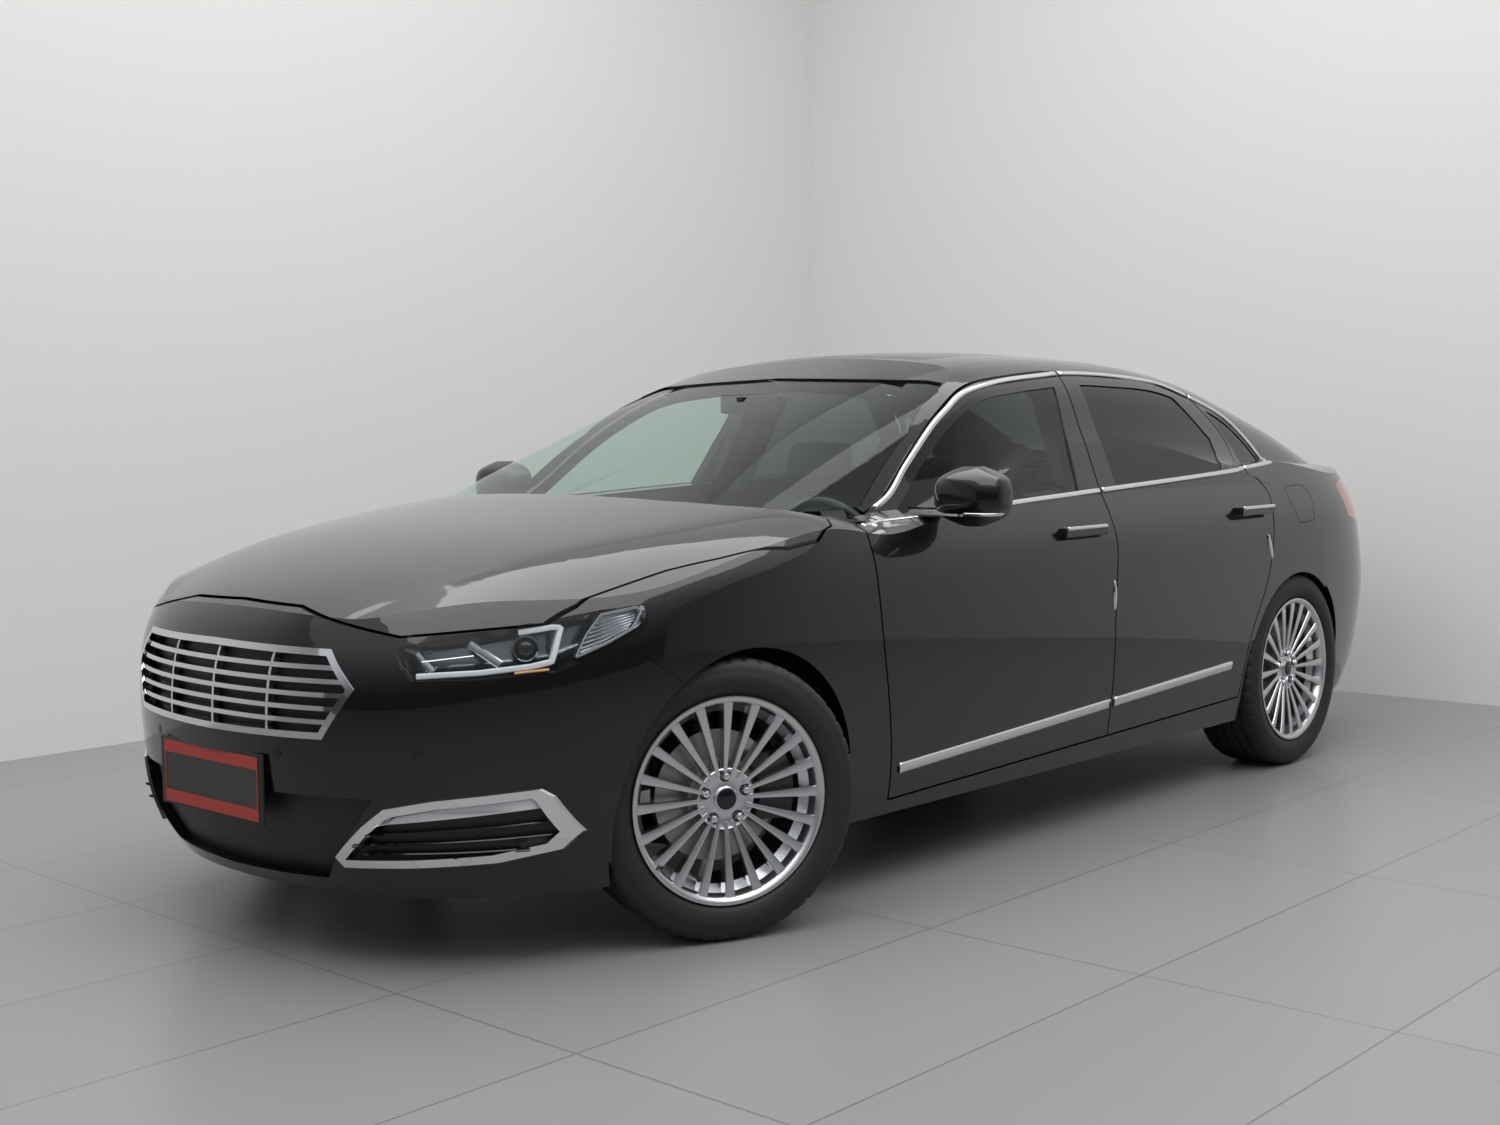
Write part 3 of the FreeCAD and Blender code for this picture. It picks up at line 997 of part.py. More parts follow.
SEAT_Y = 370
SEAT_HALF = size("seat_width") / 2
seat_line = ring([(WAIST_X + 350, FLOOR_TOP + SEAT_GAP), (WAIST_X + 372, FLOOR_TOP + 190),
                  (WAIST_X + 330, FLOOR_TOP + 262), (WAIST_X - 20, FLOOR_TOP + 228), (WAIST_X - 235, FLOOR_TOP + 800),
                  (WAIST_X - 268, FLOOR_TOP + 940), (WAIST_X - 345, FLOOR_TOP + 930),
                  (WAIST_X - 340, FLOOR_TOP + 780), (WAIST_X - 190, FLOOR_TOP + 150),
                  (WAIST_X - 120, FLOOR_TOP + SEAT_GAP)])
seat = side_prism(seat_line, SEAT_Y - SEAT_HALF, SEAT_Y + SEAT_HALF)
seat = seat.makeFillet(28, [edge for edge in seat.Edges if edge.BoundBox.ZMin > FLOOR_TOP + 100])
bench = side_prism(ring([(behind(-850), FLOOR_TOP + SEAT_GAP), (behind(-850), FLOOR_TOP + 200),
                         (behind(-810), FLOOR_TOP + 240), (behind(-400), FLOOR_TOP + 205),
                         (behind(-300), FLOOR_TOP + 330), (behind(-140), FLOOR_TOP + 740),
                         (behind(0), FLOOR_TOP + 740), (behind(20), BOOT_FLOOR + SEAT_GAP),
                         (KICK_X - 50, BOOT_FLOOR + SEAT_GAP), (KICK_X + 12, FLOOR_TOP + SEAT_GAP)]),
                   -TUB_Y + 8, TUB_Y - 8)
bench = bench.makeFillet(24, [edge for edge in bench.Edges if edge.BoundBox.ZMin > BOOT_FLOOR + 20])

WHEEL_Y = SEAT_Y
WHEEL_AT = Vector(ahead(-983), WHEEL_Y, SILL + 640)
COLUMN_TILT = math.radians(24)
column_way = Vector(-math.cos(COLUMN_TILT), 0, math.sin(COLUMN_TILT))
WHEEL_RADIUS = size("steering_wheel_radius")
wheel_rim = Part.makeTorus(WHEEL_RADIUS, 15, WHEEL_AT, column_way)
wheel_hub = Part.makeCylinder(62, 46, WHEEL_AT - column_way * 42, column_way)
wheel_shaft = Part.makeCylinder(12, 150, WHEEL_AT - column_way * 180, column_way)
steering_spokes = []
for way in (Vector(0, 1, 0), Vector(0, -1, 0), column_way.cross(Vector(0, 1, 0))):
    steering_spokes.append(Part.makeCylinder(13, WHEEL_RADIUS, WHEEL_AT - column_way * 14, way))
steering_wheel = wheel_rim.fuse([wheel_hub, wheel_shaft] + steering_spokes)
shroud = Part.makeCylinder(48, 210, WHEEL_AT - column_way * 262, column_way).cut(
    Part.makeCylinder(12 + RUNNING, 400, WHEEL_AT - column_way * 190, column_way))
dash_line = ring([(FIREWALL, SILL + 400), (FIREWALL, COWL - 110), (ahead(-640), COWL - 78), (ahead(-790), COWL - 92),
                  (ahead(-880), COWL - 170), (ahead(-900), SILL + 620), (ahead(-840), SILL + 560),
                  (ahead(-800), SILL + 400)])
dashboard = side_prism(dash_line, -TUB_Y + 20, TUB_Y - 20).fuse(
    side_prism(dash_line, -EDGE, EDGE).common(box(ahead(-950), ahead(-612), -790, 790, 0, TOP)).common(
        body_band(DOOR + GAP + 2)))
dashboard = dashboard.fuse(shroud).cut(Part.makeCylinder(12 + RUNNING, 190, WHEEL_AT - column_way * 190, column_way))
console = box(WAIST_X - 180, FIREWALL, -95, 95, FLOOR_TOP + SEAT_GAP, FLOOR_TOP + 230)
dashboard = dashboard.fuse(console.makeFillet(20, [edge for edge in console.Edges
                                                   if edge.BoundBox.ZMin > FLOOR_TOP + 100]))

# Plate and wipers
PLATE = (207, SILL + 128, SILL + 282)
plate_room = box(HALF_LENGTH - 20, NOSE, -PLATE[0] - SEAT_GAP, PLATE[0] + SEAT_GAP, PLATE[1] - SEAT_GAP,
                 PLATE[2] + SEAT_GAP)
front_bumper = front_bumper.cut(plate_room)
plate = box(HALF_LENGTH - 20 + SEAT_GAP, HALF_LENGTH - 9, -PLATE[0], PLATE[0], PLATE[1], PLATE[2])
wiper_zone = front_prism(ring([(-470, COWL - 38), (-468, COWL - 26), (90, COWL - 18), (92, COWL - 34)]),
                         ahead(-400), NOSE).fuse(front_prism(ring([(110, COWL - 34), (112, COWL - 18),
                                                                   (640, COWL - 34), (638, COWL - 46)]),
                                                             ahead(-400), NOSE))
wiper_posts = [Part.makeCylinder(9, 55, Vector(SHELF_END - 2, y, SHELF_TOP + SEAT_GAP)) for y in (-20, 480)]
wipers = windscreen.translated(Vector(16, 0, 6)).common(wiper_zone).fuse(wiper_posts).cut(
    [cowl, hood_room, windscreen])

# Every piece, in its place
LEFT = 1
RIGHT = -1


def wheel_place(axle, side):
    """Where a wheel's centre stands, a front wheel turned to the photographed lock about its kingpin."""
    track = size("half_track")
    if axle == REAR_AXLE:
        return Placement(Vector(axle, side * track, AXLE_HEIGHT), Rotation())
    turn = Rotation(Vector(0, 0, 1), -size("steer_rest"))
    kingpin = Placement(Vector(axle, side * (track - KINGPIN), AXLE_HEIGHT), turn)
    return kingpin.multiply(Placement(Vector(0, side * KINGPIN, 0), Rotation()))


def place_part(label, shape, placement):
    """A sub-part with its computed shape, then put in its place."""
    part = add_part(label, shape)
    part.Placement = placement
    return part


for side, word in ((LEFT, "left"), (RIGHT, "right")):
    for label, shape in (("body_side", body_side), ("fender", fender), ("door_front", front_door),
                         ("door_rear", rear_door), ("glass_front", front_glass), ("glass_rear", rear_glass),
                         ("mirror", mirror)):
        add_part("%s_%s" % (label, word), shape if side == LEFT else mirrored(shape))
    for axle, name in ((FRONT_AXLE, "front"), (REAR_AXLE, "rear")):
        place = wheel_place(axle, side)
        place_part("tyre_%s_%s" % (name, word), tyre if side == LEFT else mirrored(tyre), place)
        place_part("wheel_%s_%s" % (name, word), wheel if side == LEFT else mirrored(wheel), place)
        if axle == FRONT_AXLE:
            place_part("knuckle_%s" % word, knuckle if side == LEFT else mirrored(knuckle), place)


def pair(shape):
    """Like pieces on both sides of the car, as one piece."""
    return Part.makeCompound(shape.Solids + mirrored(shape).Solids)


add_part("roof_panel", roof_panel)
add_part("windscreen", windscreen)
add_part("rear_window", rear_window)
add_part("quarter_windows", pair(quarter_glass))
add_part("hood", hood)
add_part("front_bumper", front_bumper)
add_part("grille", grille)
add_part("intake_mesh", intake_mesh)
add_part("headlamps", pair(lamp_lens))
add_part("fog_trims", pair(fog_trim))
add_part("front_plate", plate)
add_part("rear_bumper", rear_bumper)
add_part("tail_lamps", pair(tail_lamp))
add_part("trunk_lid", trunk_lid)
add_part("cowl", cowl)
add_part("firewall", firewall_shape)
add_part("floor_pan", floor_pan)
add_part("parcel_shelf", parcel_shelf)
add_part("wheel_liners", Part.makeCompound(pair(front_liner).Solids + pair(rear_liner).Solids))
add_part("engine_block", engine)
add_part("exhaust", exhaust)
add_part("front_suspension", front_frame)
add_part("rear_suspension", rear_frame)
add_part("dashboard", dashboard)
add_part("steering_wheel", steering_wheel)
add_part("front_seats", pair(seat))
add_part("rear_bench", bench)
add_part("wipers", wipers)

doc.recompute()
os.makedirs("parts", exist_ok=True)
for part in NODES:
    if "Invalid" in part.State or "Error" in part.State:
        raise RuntimeError("%s did not compute" % part.Label)
    if part.Shape.isNull() or not part.Shape.isValid() or not part.Shape.Solids:
        raise RuntimeError("%s has no valid solid" % part.Label)
    part.Shape.exportStep("parts/%s.step" % part.Label)
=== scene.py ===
import math

import bmesh
import bpy
from mathutils import Matrix, Vector
from mathutils.bvhtree import BVHTree


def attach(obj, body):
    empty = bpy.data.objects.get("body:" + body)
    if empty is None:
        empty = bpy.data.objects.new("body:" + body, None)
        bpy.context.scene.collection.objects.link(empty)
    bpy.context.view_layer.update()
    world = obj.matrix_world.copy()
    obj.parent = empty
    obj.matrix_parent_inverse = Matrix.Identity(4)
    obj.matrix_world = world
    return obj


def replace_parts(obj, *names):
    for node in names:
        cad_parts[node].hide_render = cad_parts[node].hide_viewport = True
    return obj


bl_info = {
    "name": "Sedan Car Finish",
    "version": (1, 0, 0),
    "blender": (4, 5, 0),
    "location": "View3D > Sidebar > Sedan",
    "description": "Paints, trims and lights a four-door sedan car",
    "category": "Object",
}

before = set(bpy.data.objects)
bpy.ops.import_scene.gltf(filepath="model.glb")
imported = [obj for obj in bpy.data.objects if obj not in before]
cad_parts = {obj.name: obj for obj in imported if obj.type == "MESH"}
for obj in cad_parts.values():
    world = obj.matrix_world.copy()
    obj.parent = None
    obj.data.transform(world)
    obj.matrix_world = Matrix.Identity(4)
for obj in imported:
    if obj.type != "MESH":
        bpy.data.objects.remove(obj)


# Materials

def new_material(name):
    """An empty node material with its shader and its Object coordinates."""
    material = bpy.data.materials.new(name)
    material.use_nodes = True
    nodes = material.node_tree.nodes
    shader = nodes["Principled BSDF"]
    place = nodes.new("ShaderNodeTexCoord")
    return material, nodes, material.node_tree.links, shader, place


def set_values(shader, values):
    """Shader sockets set to plain values."""
    for name, value in values.items():
        shader.inputs[name].default_value = value


def grain(nodes, links, place, shader, scale, strength, distance=0.001):
    """Fine surface grain as a bump."""
    noise = nodes.new("ShaderNodeTexNoise")
    noise.inputs["Scale"].default_value = scale
    noise.inputs["Detail"].default_value = 6.0
    links.new(place.outputs["Object"], noise.inputs["Vector"])
    bump = nodes.new("ShaderNodeBump")
    bump.inputs["Strength"].default_value = strength
    bump.inputs["Distance"].default_value = distance
    links.new(noise.outputs["Fac"], bump.inputs["Height"])
    links.new(bump.outputs["Normal"], shader.inputs["Normal"])


def plain_material(name, colour, metallic, roughness, extra=None, bump=None):
    """A material of one colour with fine grain where it is asked for."""
    material, nodes, links, shader, place = new_material(name)
    set_values(shader, {"Base Color": (*colour, 1.0), "Metallic": metallic, "Roughness": roughness})
    set_values(shader, extra or {})
    if bump:
        grain(nodes, links, place, shader, bump[0], bump[1])
    return material


def glass_material(name, colour, clearness):
    """Thin sheet glass: a tinted see-through sheet under a mirror-like skin."""
    material, nodes, links, shader, place = new_material(name)
    nodes.remove(shader)
    output = nodes["Material Output"]
    clear = nodes.new("ShaderNodeBsdfTransparent")
    clear.inputs["Color"].default_value = (*[value * clearness for value in colour], 1.0)
    shine = nodes.new("ShaderNodeBsdfGlossy")
    shine.inputs["Color"].default_value = (0.95, 0.97, 0.97, 1.0)
    shine.inputs["Roughness"].default_value = 0.015
    fresnel = nodes.new("ShaderNodeFresnel")
    fresnel.inputs["IOR"].default_value = 1.5
    side = nodes.new("ShaderNodeNewGeometry")
    outside = nodes.new("ShaderNodeMath")
    outside.operation = "SUBTRACT"
    outside.inputs[0].default_value = 1.0
    links.new(side.outputs["Backfacing"], outside.inputs[1])
    share = nodes.new("ShaderNodeMath")
    share.operation = "MULTIPLY"
    links.new(fresnel.outputs["Fac"], share.inputs[0])
    links.new(outside.outputs["Value"], share.inputs[1])
    mix = nodes.new("ShaderNodeMixShader")
    links.new(share.outputs["Value"], mix.inputs["Fac"])
    links.new(clear.outputs["BSDF"], mix.inputs[1])
    links.new(shine.outputs["BSDF"], mix.inputs[2])
    links.new(mix.outputs["Shader"], output.inputs["Surface"])
    return material


FINISHES = {}


def shared_finishes(settings):
    """The car's finishes, mixed once and then shared by every operator."""
    if not FINISHES:
        FINISHES.update(make_materials(settings))
    return FINISHES


def make_materials(settings):
    """Every finish of the car, by name."""
    finishes = {}
    finishes["paint"] = plain_material("Gloss Black Paint", settings.paint_colour, 0.0, 0.35,
                                       {"Specular IOR Level": 0.15, "Coat Weight": settings.paint_gloss,
                                        "Coat Roughness": 0.03, "Coat IOR": 1.5})
    finishes["cabin"] = plain_material("Cabin Lining", (0.035, 0.032, 0.030), 0.0, 0.7, None, (500, 0.2))
    finishes["lamp_metal"] = plain_material("Lamp Housing Metal", (0.22, 0.22, 0.23), 1.0, 0.22)
    finishes["lamp_light"] = plain_material("Frosted Strip", (0.75, 0.76, 0.78), 0.0, 0.25)
    finishes["dark_plastic"] = plain_material("Dark Plastic", (0.012, 0.012, 0.013), 0.0, 0.5, None, (900, 0.15))
    finishes["gloss_plastic"] = plain_material("Gloss Black Plastic", (0.004, 0.004, 0.004), 0.0, 0.08)
    finishes["chrome"] = plain_material("Bright Chrome", settings.chrome_colour, 1.0, 0.06)
    finishes["alloy"] = plain_material("Silver Wheel Paint", settings.alloy_colour, 1.0, 0.28,
                                       {"Coat Weight": 0.6, "Coat Roughness": 0.06})
    finishes["steel"] = plain_material("Underbody Steel", (0.05, 0.05, 0.052), 0.6, 0.5, None, (120, 0.2))
    finishes["iron"] = plain_material("Cast Iron", (0.09, 0.09, 0.095), 0.8, 0.5, None, (300, 0.2))
    finishes["liner"] = plain_material("Arch Liner", (0.006, 0.006, 0.006), 0.0, 0.9, None, (400, 0.4))
    finishes["rubber"] = plain_material("Tyre Rubber", (0.012, 0.012, 0.012), 0.0, 0.62, None, (700, 0.2))
    finishes["leather"] = plain_material("Dark Leather", settings.leather_colour, 0.0, 0.45, None,
                                         (500, 0.3))
    finishes["pale_trim"] = plain_material("Pale Cabin Trim", (0.35, 0.33, 0.30), 0.0, 0.8, None, (500, 0.2))
    finishes["red_lamp"] = plain_material("Red Lamp", (0.35, 0.004, 0.008), 0.0, 0.05,
                                          {"Coat Weight": 1.0, "Coat Roughness": 0.02})
    finishes["plate"] = plain_material("Plate Edge", settings.plate_colour, 0.0, 0.45)
    finishes["plate_field"] = plain_material("Blank Plate Field", (0.035, 0.035, 0.035), 0.0, 0.5)
    finishes["amber"] = plain_material("Amber Lamp", (0.75, 0.42, 0.20), 0.0, 0.25)
    finishes["silver"] = plain_material("Lamp Reflector", (0.7, 0.71, 0.73), 1.0, 0.15)
    finishes["mirror"] = plain_material("Mirror Glass", (0.85, 0.87, 0.88), 1.0, 0.02)
    finishes["disc"] = plain_material("Brake Disc Steel", (0.35, 0.34, 0.33), 1.0, 0.35, None, (200, 0.1))
    finishes["cap"] = plain_material("Blank Cap", (0.006, 0.007, 0.010), 0.0, 0.12)
    finishes["screen"] = glass_material("Windscreen Glass", (0.90, 0.97, 0.94), 0.97)
    finishes["side_glass"] = glass_material("Front Door Glass", (0.84, 0.92, 0.89), 0.95)
    finishes["dark_glass"] = glass_material("Dark Tinted Glass", (0.40, 0.42, 0.42), 0.7)
    finishes["lamp_glass"] = glass_material("Lamp Cover", (0.95, 0.97, 0.98), 0.98)
    return finishes


# Pieces

NODE_FINISH = {
    "side_glass": ["glass_front_left", "glass_front_right"],
    "dark_glass": ["glass_rear_left", "glass_rear_right", "quarter_windows", "rear_window"],
    "screen": ["windscreen"],
    "chrome": ["grille", "fog_trims"],
    "dark_plastic": ["intake_mesh", "cowl", "dashboard", "steering_wheel", "wipers", "parcel_shelf"],
    "lamp_glass": ["headlamps"],
    "red_lamp": ["tail_lamps"],
    "plate_field": ["front_plate"],
    "liner": ["wheel_liners"],
    "steel": ["floor_pan", "firewall", "exhaust"],
    "iron": ["engine_block", "front_suspension", "rear_suspension", "knuckle_left", "knuckle_right"],
    "leather": ["front_seats", "rear_bench"],
    "rubber": ["tyre_front_left", "tyre_front_right", "tyre_rear_left", "tyre_rear_right"],
    "alloy": ["wheel_front_left", "wheel_front_right", "wheel_rear_left", "wheel_rear_right"],
}


def finish_nodes(finishes):
    """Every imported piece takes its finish; painted ones take the paint."""
    chosen = {}
    for finish, names in NODE_FINISH.items():
        for name in names:
            chosen[name] = finish
    for name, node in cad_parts.items():
        node.data.materials.clear()
        node.data.materials.append(finishes[chosen.get(name, "paint")])


def part_finish(name, material, chosen):
    """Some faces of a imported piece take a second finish, chosen by centre and normal."""
    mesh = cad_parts[name].data
    mesh.materials.append(material)
    slot = len(mesh.materials) - 1
    for face in mesh.polygons:
        if chosen(face.center, face.normal):
            face.material_index = slot


def inside_outline(outline, y, z):
    """Whether a place in front view lies inside an outline."""
    inside = False
    for (y0, z0), (y1, z1) in zip(outline, outline[1:] + outline[:1]):
        if (z0 > z) != (z1 > z) and y < (y1 - y0) * (z - z0) / (z1 - z0) + y0:
            inside = not inside
    return inside


FOG_INSIDE = [(0.4122, 0.277), (0.4135, 0.2745), (0.5599, 0.281), (0.6918, 0.2898), (0.7623, 0.3095),
              (0.7809, 0.3363), (0.766, 0.4158), (0.7615, 0.4227), (0.6241, 0.4062), (0.5326, 0.3864),
              (0.4827, 0.3448)]


def grille_nose(y, z):
    """How far forward the nose reaches at the grille."""
    side = abs(y)
    return (2.40494 + 0.05764 * side - 0.68294 * side ** 2 + 0.33003 * side ** 3 + 0.40271 * z
            - 0.43341 * z ** 2 + 0.03292 * side * z)


def finish_faces(finishes):
    """Dark backs of grille and fog lamps, and the cabin side of doors and body."""
    part_finish("grille", finishes["dark_plastic"],
                lambda at, way: at.x < grille_nose(at.y, at.z) - 0.027)
    part_finish("fog_trims", finishes["dark_plastic"],
                lambda at, way: inside_outline(FOG_INSIDE, abs(at.y), at.z) and abs(way.x) > 0.2)
    for side in (1, -1):
        for stem in ("door_front", "door_rear", "body_side"):
            part_finish(side_name(stem, side), finishes["cabin"],
                        lambda at, way, side=side: way.y * side < -0.35 and abs(at.y) < 0.90
                        and -1.9 < at.x < 1.05)
    part_finish("roof_panel", finishes["pale_trim"], lambda at, way: way.z < -0.5)


# Helpers for pieces laid on the skin

WIDE_OUT = 1.6

def skin_tree(names):
    """A ray-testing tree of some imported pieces, in the car's own coordinates."""
    points = []
    faces = []
    for name in names:
        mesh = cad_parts[name].data
        start = len(points)
        points.extend([vertex.co.copy() for vertex in mesh.vertices])
        faces.extend([[start + i for i in face.vertices] for face in mesh.polygons])
    return BVHTree.FromPolygons(points, faces)


def cast(tree, origin, way):
    """Where a ray meets the skin, with the outward normal there."""
    place, normal, index, distance = tree.ray_cast(Vector(origin), Vector(way).normalized())
    if place is None:
        raise ValueError("no skin at %s" % (tuple(origin),))
    if normal.dot(Vector(way)) > 0:
        normal = -normal
    return place, normal


def smooth_path(points, step, closed=False):
    """A Catmull-Rom curve through points, at even steps."""
    count = len(points)
    rings = []
    last = count if closed else count - 1
    for i in range(last):
        before = points[(i - 1) % count] if closed or i > 0 else points[0]
        here = points[i]
        after = points[(i + 1) % count]
        beyond = points[(i + 2) % count] if closed or i + 2 < count else points[-1]
        length = math.dist(here, after)
        parts = max(1, round(length / step))
        for j in range(parts):
            t = j / parts
            rings.append(tuple(
                0.5 * (2 * b + (c - a) * t + (2 * a - 5 * b + 4 * c - d) * t * t
                       + (3 * b - a - 3 * c + d) * t ** 3)
                for a, b, c, d in zip(before, here, after, beyond)))
    if not closed:
        rings.append(tuple(points[-1]))
    return rings


def new_piece(name, bm, material, body="body", smooth=True):
    """A mesh made into a piece of the car that moves with a body."""
    bmesh.ops.recalc_face_normals(bm, faces=bm.faces)
    plain_name = name.replace(" ", "_")
    mesh = bpy.data.meshes.new(plain_name)
    bm.to_mesh(mesh)
    bm.free()
    piece = bpy.data.objects.new(plain_name, mesh)
    bpy.context.scene.collection.objects.link(piece)
    piece.data.materials.append(material)
    for face in mesh.polygons:
        face.use_smooth = smooth
    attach(piece, body)
    return piece


def strip_mesh(bm, points, normals, profile, closed=False):
    """A section of width and height pairs swept along a line on the skin."""
    rows = []
    count = len(points)
    for i in range(count):
        before = points[(i - 1) % count] if closed or i > 0 else points[0]
        after = points[(i + 1) % count] if closed or i < count - 1 else points[-1]
        along = (Vector(after) - Vector(before)).normalized()
        normal = Vector(normals[i])
        sideways = along.cross(normal).normalized()
        outward = sideways.cross(along).normalized()
        rows.append([bm.verts.new(Vector(points[i]) + sideways * w + outward * h) for w, h in profile])
    last = count if closed else count - 1
    across = len(profile)
    for i in range(last):
        one = rows[i]
        two = rows[(i + 1) % count]
        for j in range(across):
            k = (j + 1) % across
            bm.faces.new((one[j], two[j], two[k], one[k]))
    if not closed:
        close_ends(bm, rows)


def ring_of(bm, count, place):
    """A closed ring of vertices, placed by angle."""
    return [bm.verts.new(place(2 * math.pi * k / count)) for k in range(count)]


def join_rings(bm, rings):
    """Faces between each closed ring of vertices and the next."""
    for one, two in zip(rings, rings[1:]):
        count = len(one)
        for k in range(count):
            bm.faces.new((one[k], one[(k + 1) % count], two[(k + 1) % count], two[k]))


def close_ends(bm, rings):
    """Faces over the first and the last ring."""
    bm.faces.new(rings[0])
    bm.faces.new(list(reversed(rings[-1])))


def squarish(angle, power):
    """Cosine and sine of an angle on an outline between a circle and a square."""
    c = math.cos(angle)
    s = math.sin(angle)
    return math.copysign(abs(c) ** power, c), math.copysign(abs(s) ** power, s)


def crowned(width, height, sink=0.002):
    """A strip's section: flat base a little sunk, rounded top."""
    half = width / 2
    return [(-half, -sink), (half, -sink), (half, height * 0.35), (half * 0.72, height * 0.85), (0.0, height),
            (-half * 0.72, height * 0.85), (-half, height * 0.35)]


# Trim laid on the body

SIDE_NODES = {
    "body_side": "body", "fender": "body", "door_front": "front_door", "door_rear": "rear_door",
    "glass_front": "front_door", "glass_rear": "rear_door",
}
GLASS_LINE = [(0.9614, 0.9915), (0.7917, 1.0598), (0.6789, 1.1443), (0.5263, 1.2501), (0.4239, 1.3057),
              (0.3071, 1.3573), (0.1051, 1.3941), (-0.1295, 1.414), (-0.2791, 1.423), (-0.5587, 1.419),
              (-0.862, 1.3961), (-1.0681, 1.3443), (-1.2631, 1.2816), (-1.3956, 1.1946), (-1.489, 1.0991)]
BELT_LINE = [(1.005, 0.996), (0.755, 1.008), (0.321, 1.029), (-0.166, 1.048), (-1.011, 1.081), (-1.498, 1.111)]
STRIP_LINE = [(0.944, 0.334), (-0.908, 0.419)]
FLAP_LINE = [(-1.418, 1.005), (-1.489, 1.018), (-1.574, 1.015), (-1.595, 0.976), (-1.560, 0.905),
             (-1.534, 0.891), (-1.440, 0.887), (-1.420, 0.900)]


def side_name(stem, side):
    """The name of a piece or body on the left, side 1, or the right, side -1."""
    return stem + ("_left" if side > 0 else "_right")


def side_skin(side):
    """A ray-testing tree of one side with the body that each face moves with."""
    points = []
    faces = []
    owners = []
    for stem, body in SIDE_NODES.items():
        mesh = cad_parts[side_name(stem, side)].data
        start = len(points)
        points.extend([vertex.co.copy() for vertex in mesh.vertices])
        faces.extend([[start + i for i in face.vertices] for face in mesh.polygons])
        owners.extend([body if body == "body" else side_name(body, side)] * len(mesh.polygons))
    return BVHTree.FromPolygons(points, faces), owners


def side_runs(skin, line, side, step=0.012, deep=0.012):
    """A line in side view laid on the car's side, split where the body under it changes."""
    tree, owners = skin
    runs = []
    last = None
    for x, z in smooth_path(line, step):
        place, normal, index, distance = tree.ray_cast(Vector((x, side * WIDE_OUT, z)), Vector((0, -side, 0)))
        if place is None:
            last = None
            continue
        owner = owners[index]
        if normal.y * side < 0:
            normal = -normal
        if last is None or runs[-1][0] != owner or abs(place.y - last.y) > deep + 1.2 * abs(place.z - last.z):
            runs.append((owner, [], []))
        runs[-1][1].append(place)
        runs[-1][2].append(normal)
        last = place
    return [run for run in runs if len(run[1]) > 3]


def lay_strips(name, line, section, material, step=0.012):
    """A trim strip along both sides of the car, each run moving with the door or body under it."""
    for side in (1, -1):
        skin = side_skin(side)
        pieces = {}
        for body, points, normals in side_runs(skin, line, side, step):
            pieces.setdefault(body, []).append((points, normals))
        for body, runs in pieces.items():
            bm = bmesh.new()
            for points, normals in runs:
                strip_mesh(bm, points, steady(normals), section)
            stem = "Body" if body == "body" else body.replace("_left", "").replace("_right", "")
            new_piece("%s %s %s" % (name, stem, "Left" if side > 0 else "Right"), bm, material, body)


def steady(normals):
    """Normals evened out along a run."""
    count = len(normals)
    result = []
    for i in range(count):
        total = Vector((0, 0, 0))
        for j in range(max(0, i - 3), min(count, i + 4)):
            total += normals[j]
        result.append(total.normalized())
    return result


def add_side_trim(finishes):
    """Bright lines round the side glass and along the doors' feet."""
    lay_strips("Window Line", GLASS_LINE, crowned(0.016, 0.0025, 0.007), finishes["chrome"])
    lay_strips("Belt Line", BELT_LINE, crowned(0.015, 0.0025, 0.007), finishes["chrome"])
    lay_strips("Foot Strip", STRIP_LINE, crowned(0.029, 0.0035, 0.008), finishes["chrome"])


# Wheels and tyres, drawn round the wheel's centre with the outer side towards +Y

STEER = math.radians(22.2)
KINGPIN = (1.543, 0.735)
KINGPIN_OFFSET = 0.068
AXLE_HEIGHT = 0.3515
TYRE_SIDE = [(0.2425, 0.100), (0.2570, 0.1030), (0.2620, 0.1045), (0.2660, 0.1110), (0.2740, 0.1165),
             (0.2860, 0.1200), (0.2990, 0.1222), (0.3010, 0.1222), (0.3120, 0.1216), (0.3140, 0.1206),
             (0.3260, 0.1192), (0.3360, 0.1150), (0.3440, 0.1080), (0.3480, 0.1010), (0.3502, 0.0905)]
TREAD_RADIUS = 0.3515
GROOVES = (0.062, 0.021)
GROOVE_HALF = 0.0045
GROOVE_DEPTH = 0.007
TREAD_HALF = 0.084
REAR_AXLE = -1.406
REAR_TRACK = 0.803
TYRE_STEPS = 288
BLOCK_EVERY = 6
BLOCK_CUT = 0.005
SPOKES = 20
HUB_BORE = 0.0256
NUTS = 5
NUT_CIRCLE = 0.05715
NUT_START = math.radians(18)
NUT_RINGS = [(0.0098, 0.078), (0.0098, 0.0895), (0.0085, 0.0925), (0.0045, 0.0948)]
# Dark rings round the nuts: painted shade of the nut recesses.
NUT_SHADE_RINGS = [(0.0100, 0.0806), (0.0148, 0.0812), (0.0148, 0.0795)]
VALVE_ANGLE = math.radians(-38)
VALVE_PLACE = (0.236, 0.098)
VALVE_RADIUS = 0.0042
VALVE_LENGTH = 0.03


def wheel_places():
    """Each wheel's name, body, side and placing."""
    places = []
    outward = Vector((math.sin(STEER), math.cos(STEER), 0))
    for side in (1, -1):
        pin = Vector((KINGPIN[0], side * KINGPIN[1], AXLE_HEIGHT))
        centre = pin + outward * KINGPIN_OFFSET * side
        turn = Matrix.Rotation(-STEER, 4, "Z")
        places.append(("front", side, Matrix.Translation(centre) @ turn))
        places.append(("rear", side, Matrix.Translation((REAR_AXLE, side * REAR_TRACK, AXLE_HEIGHT))))
    return places


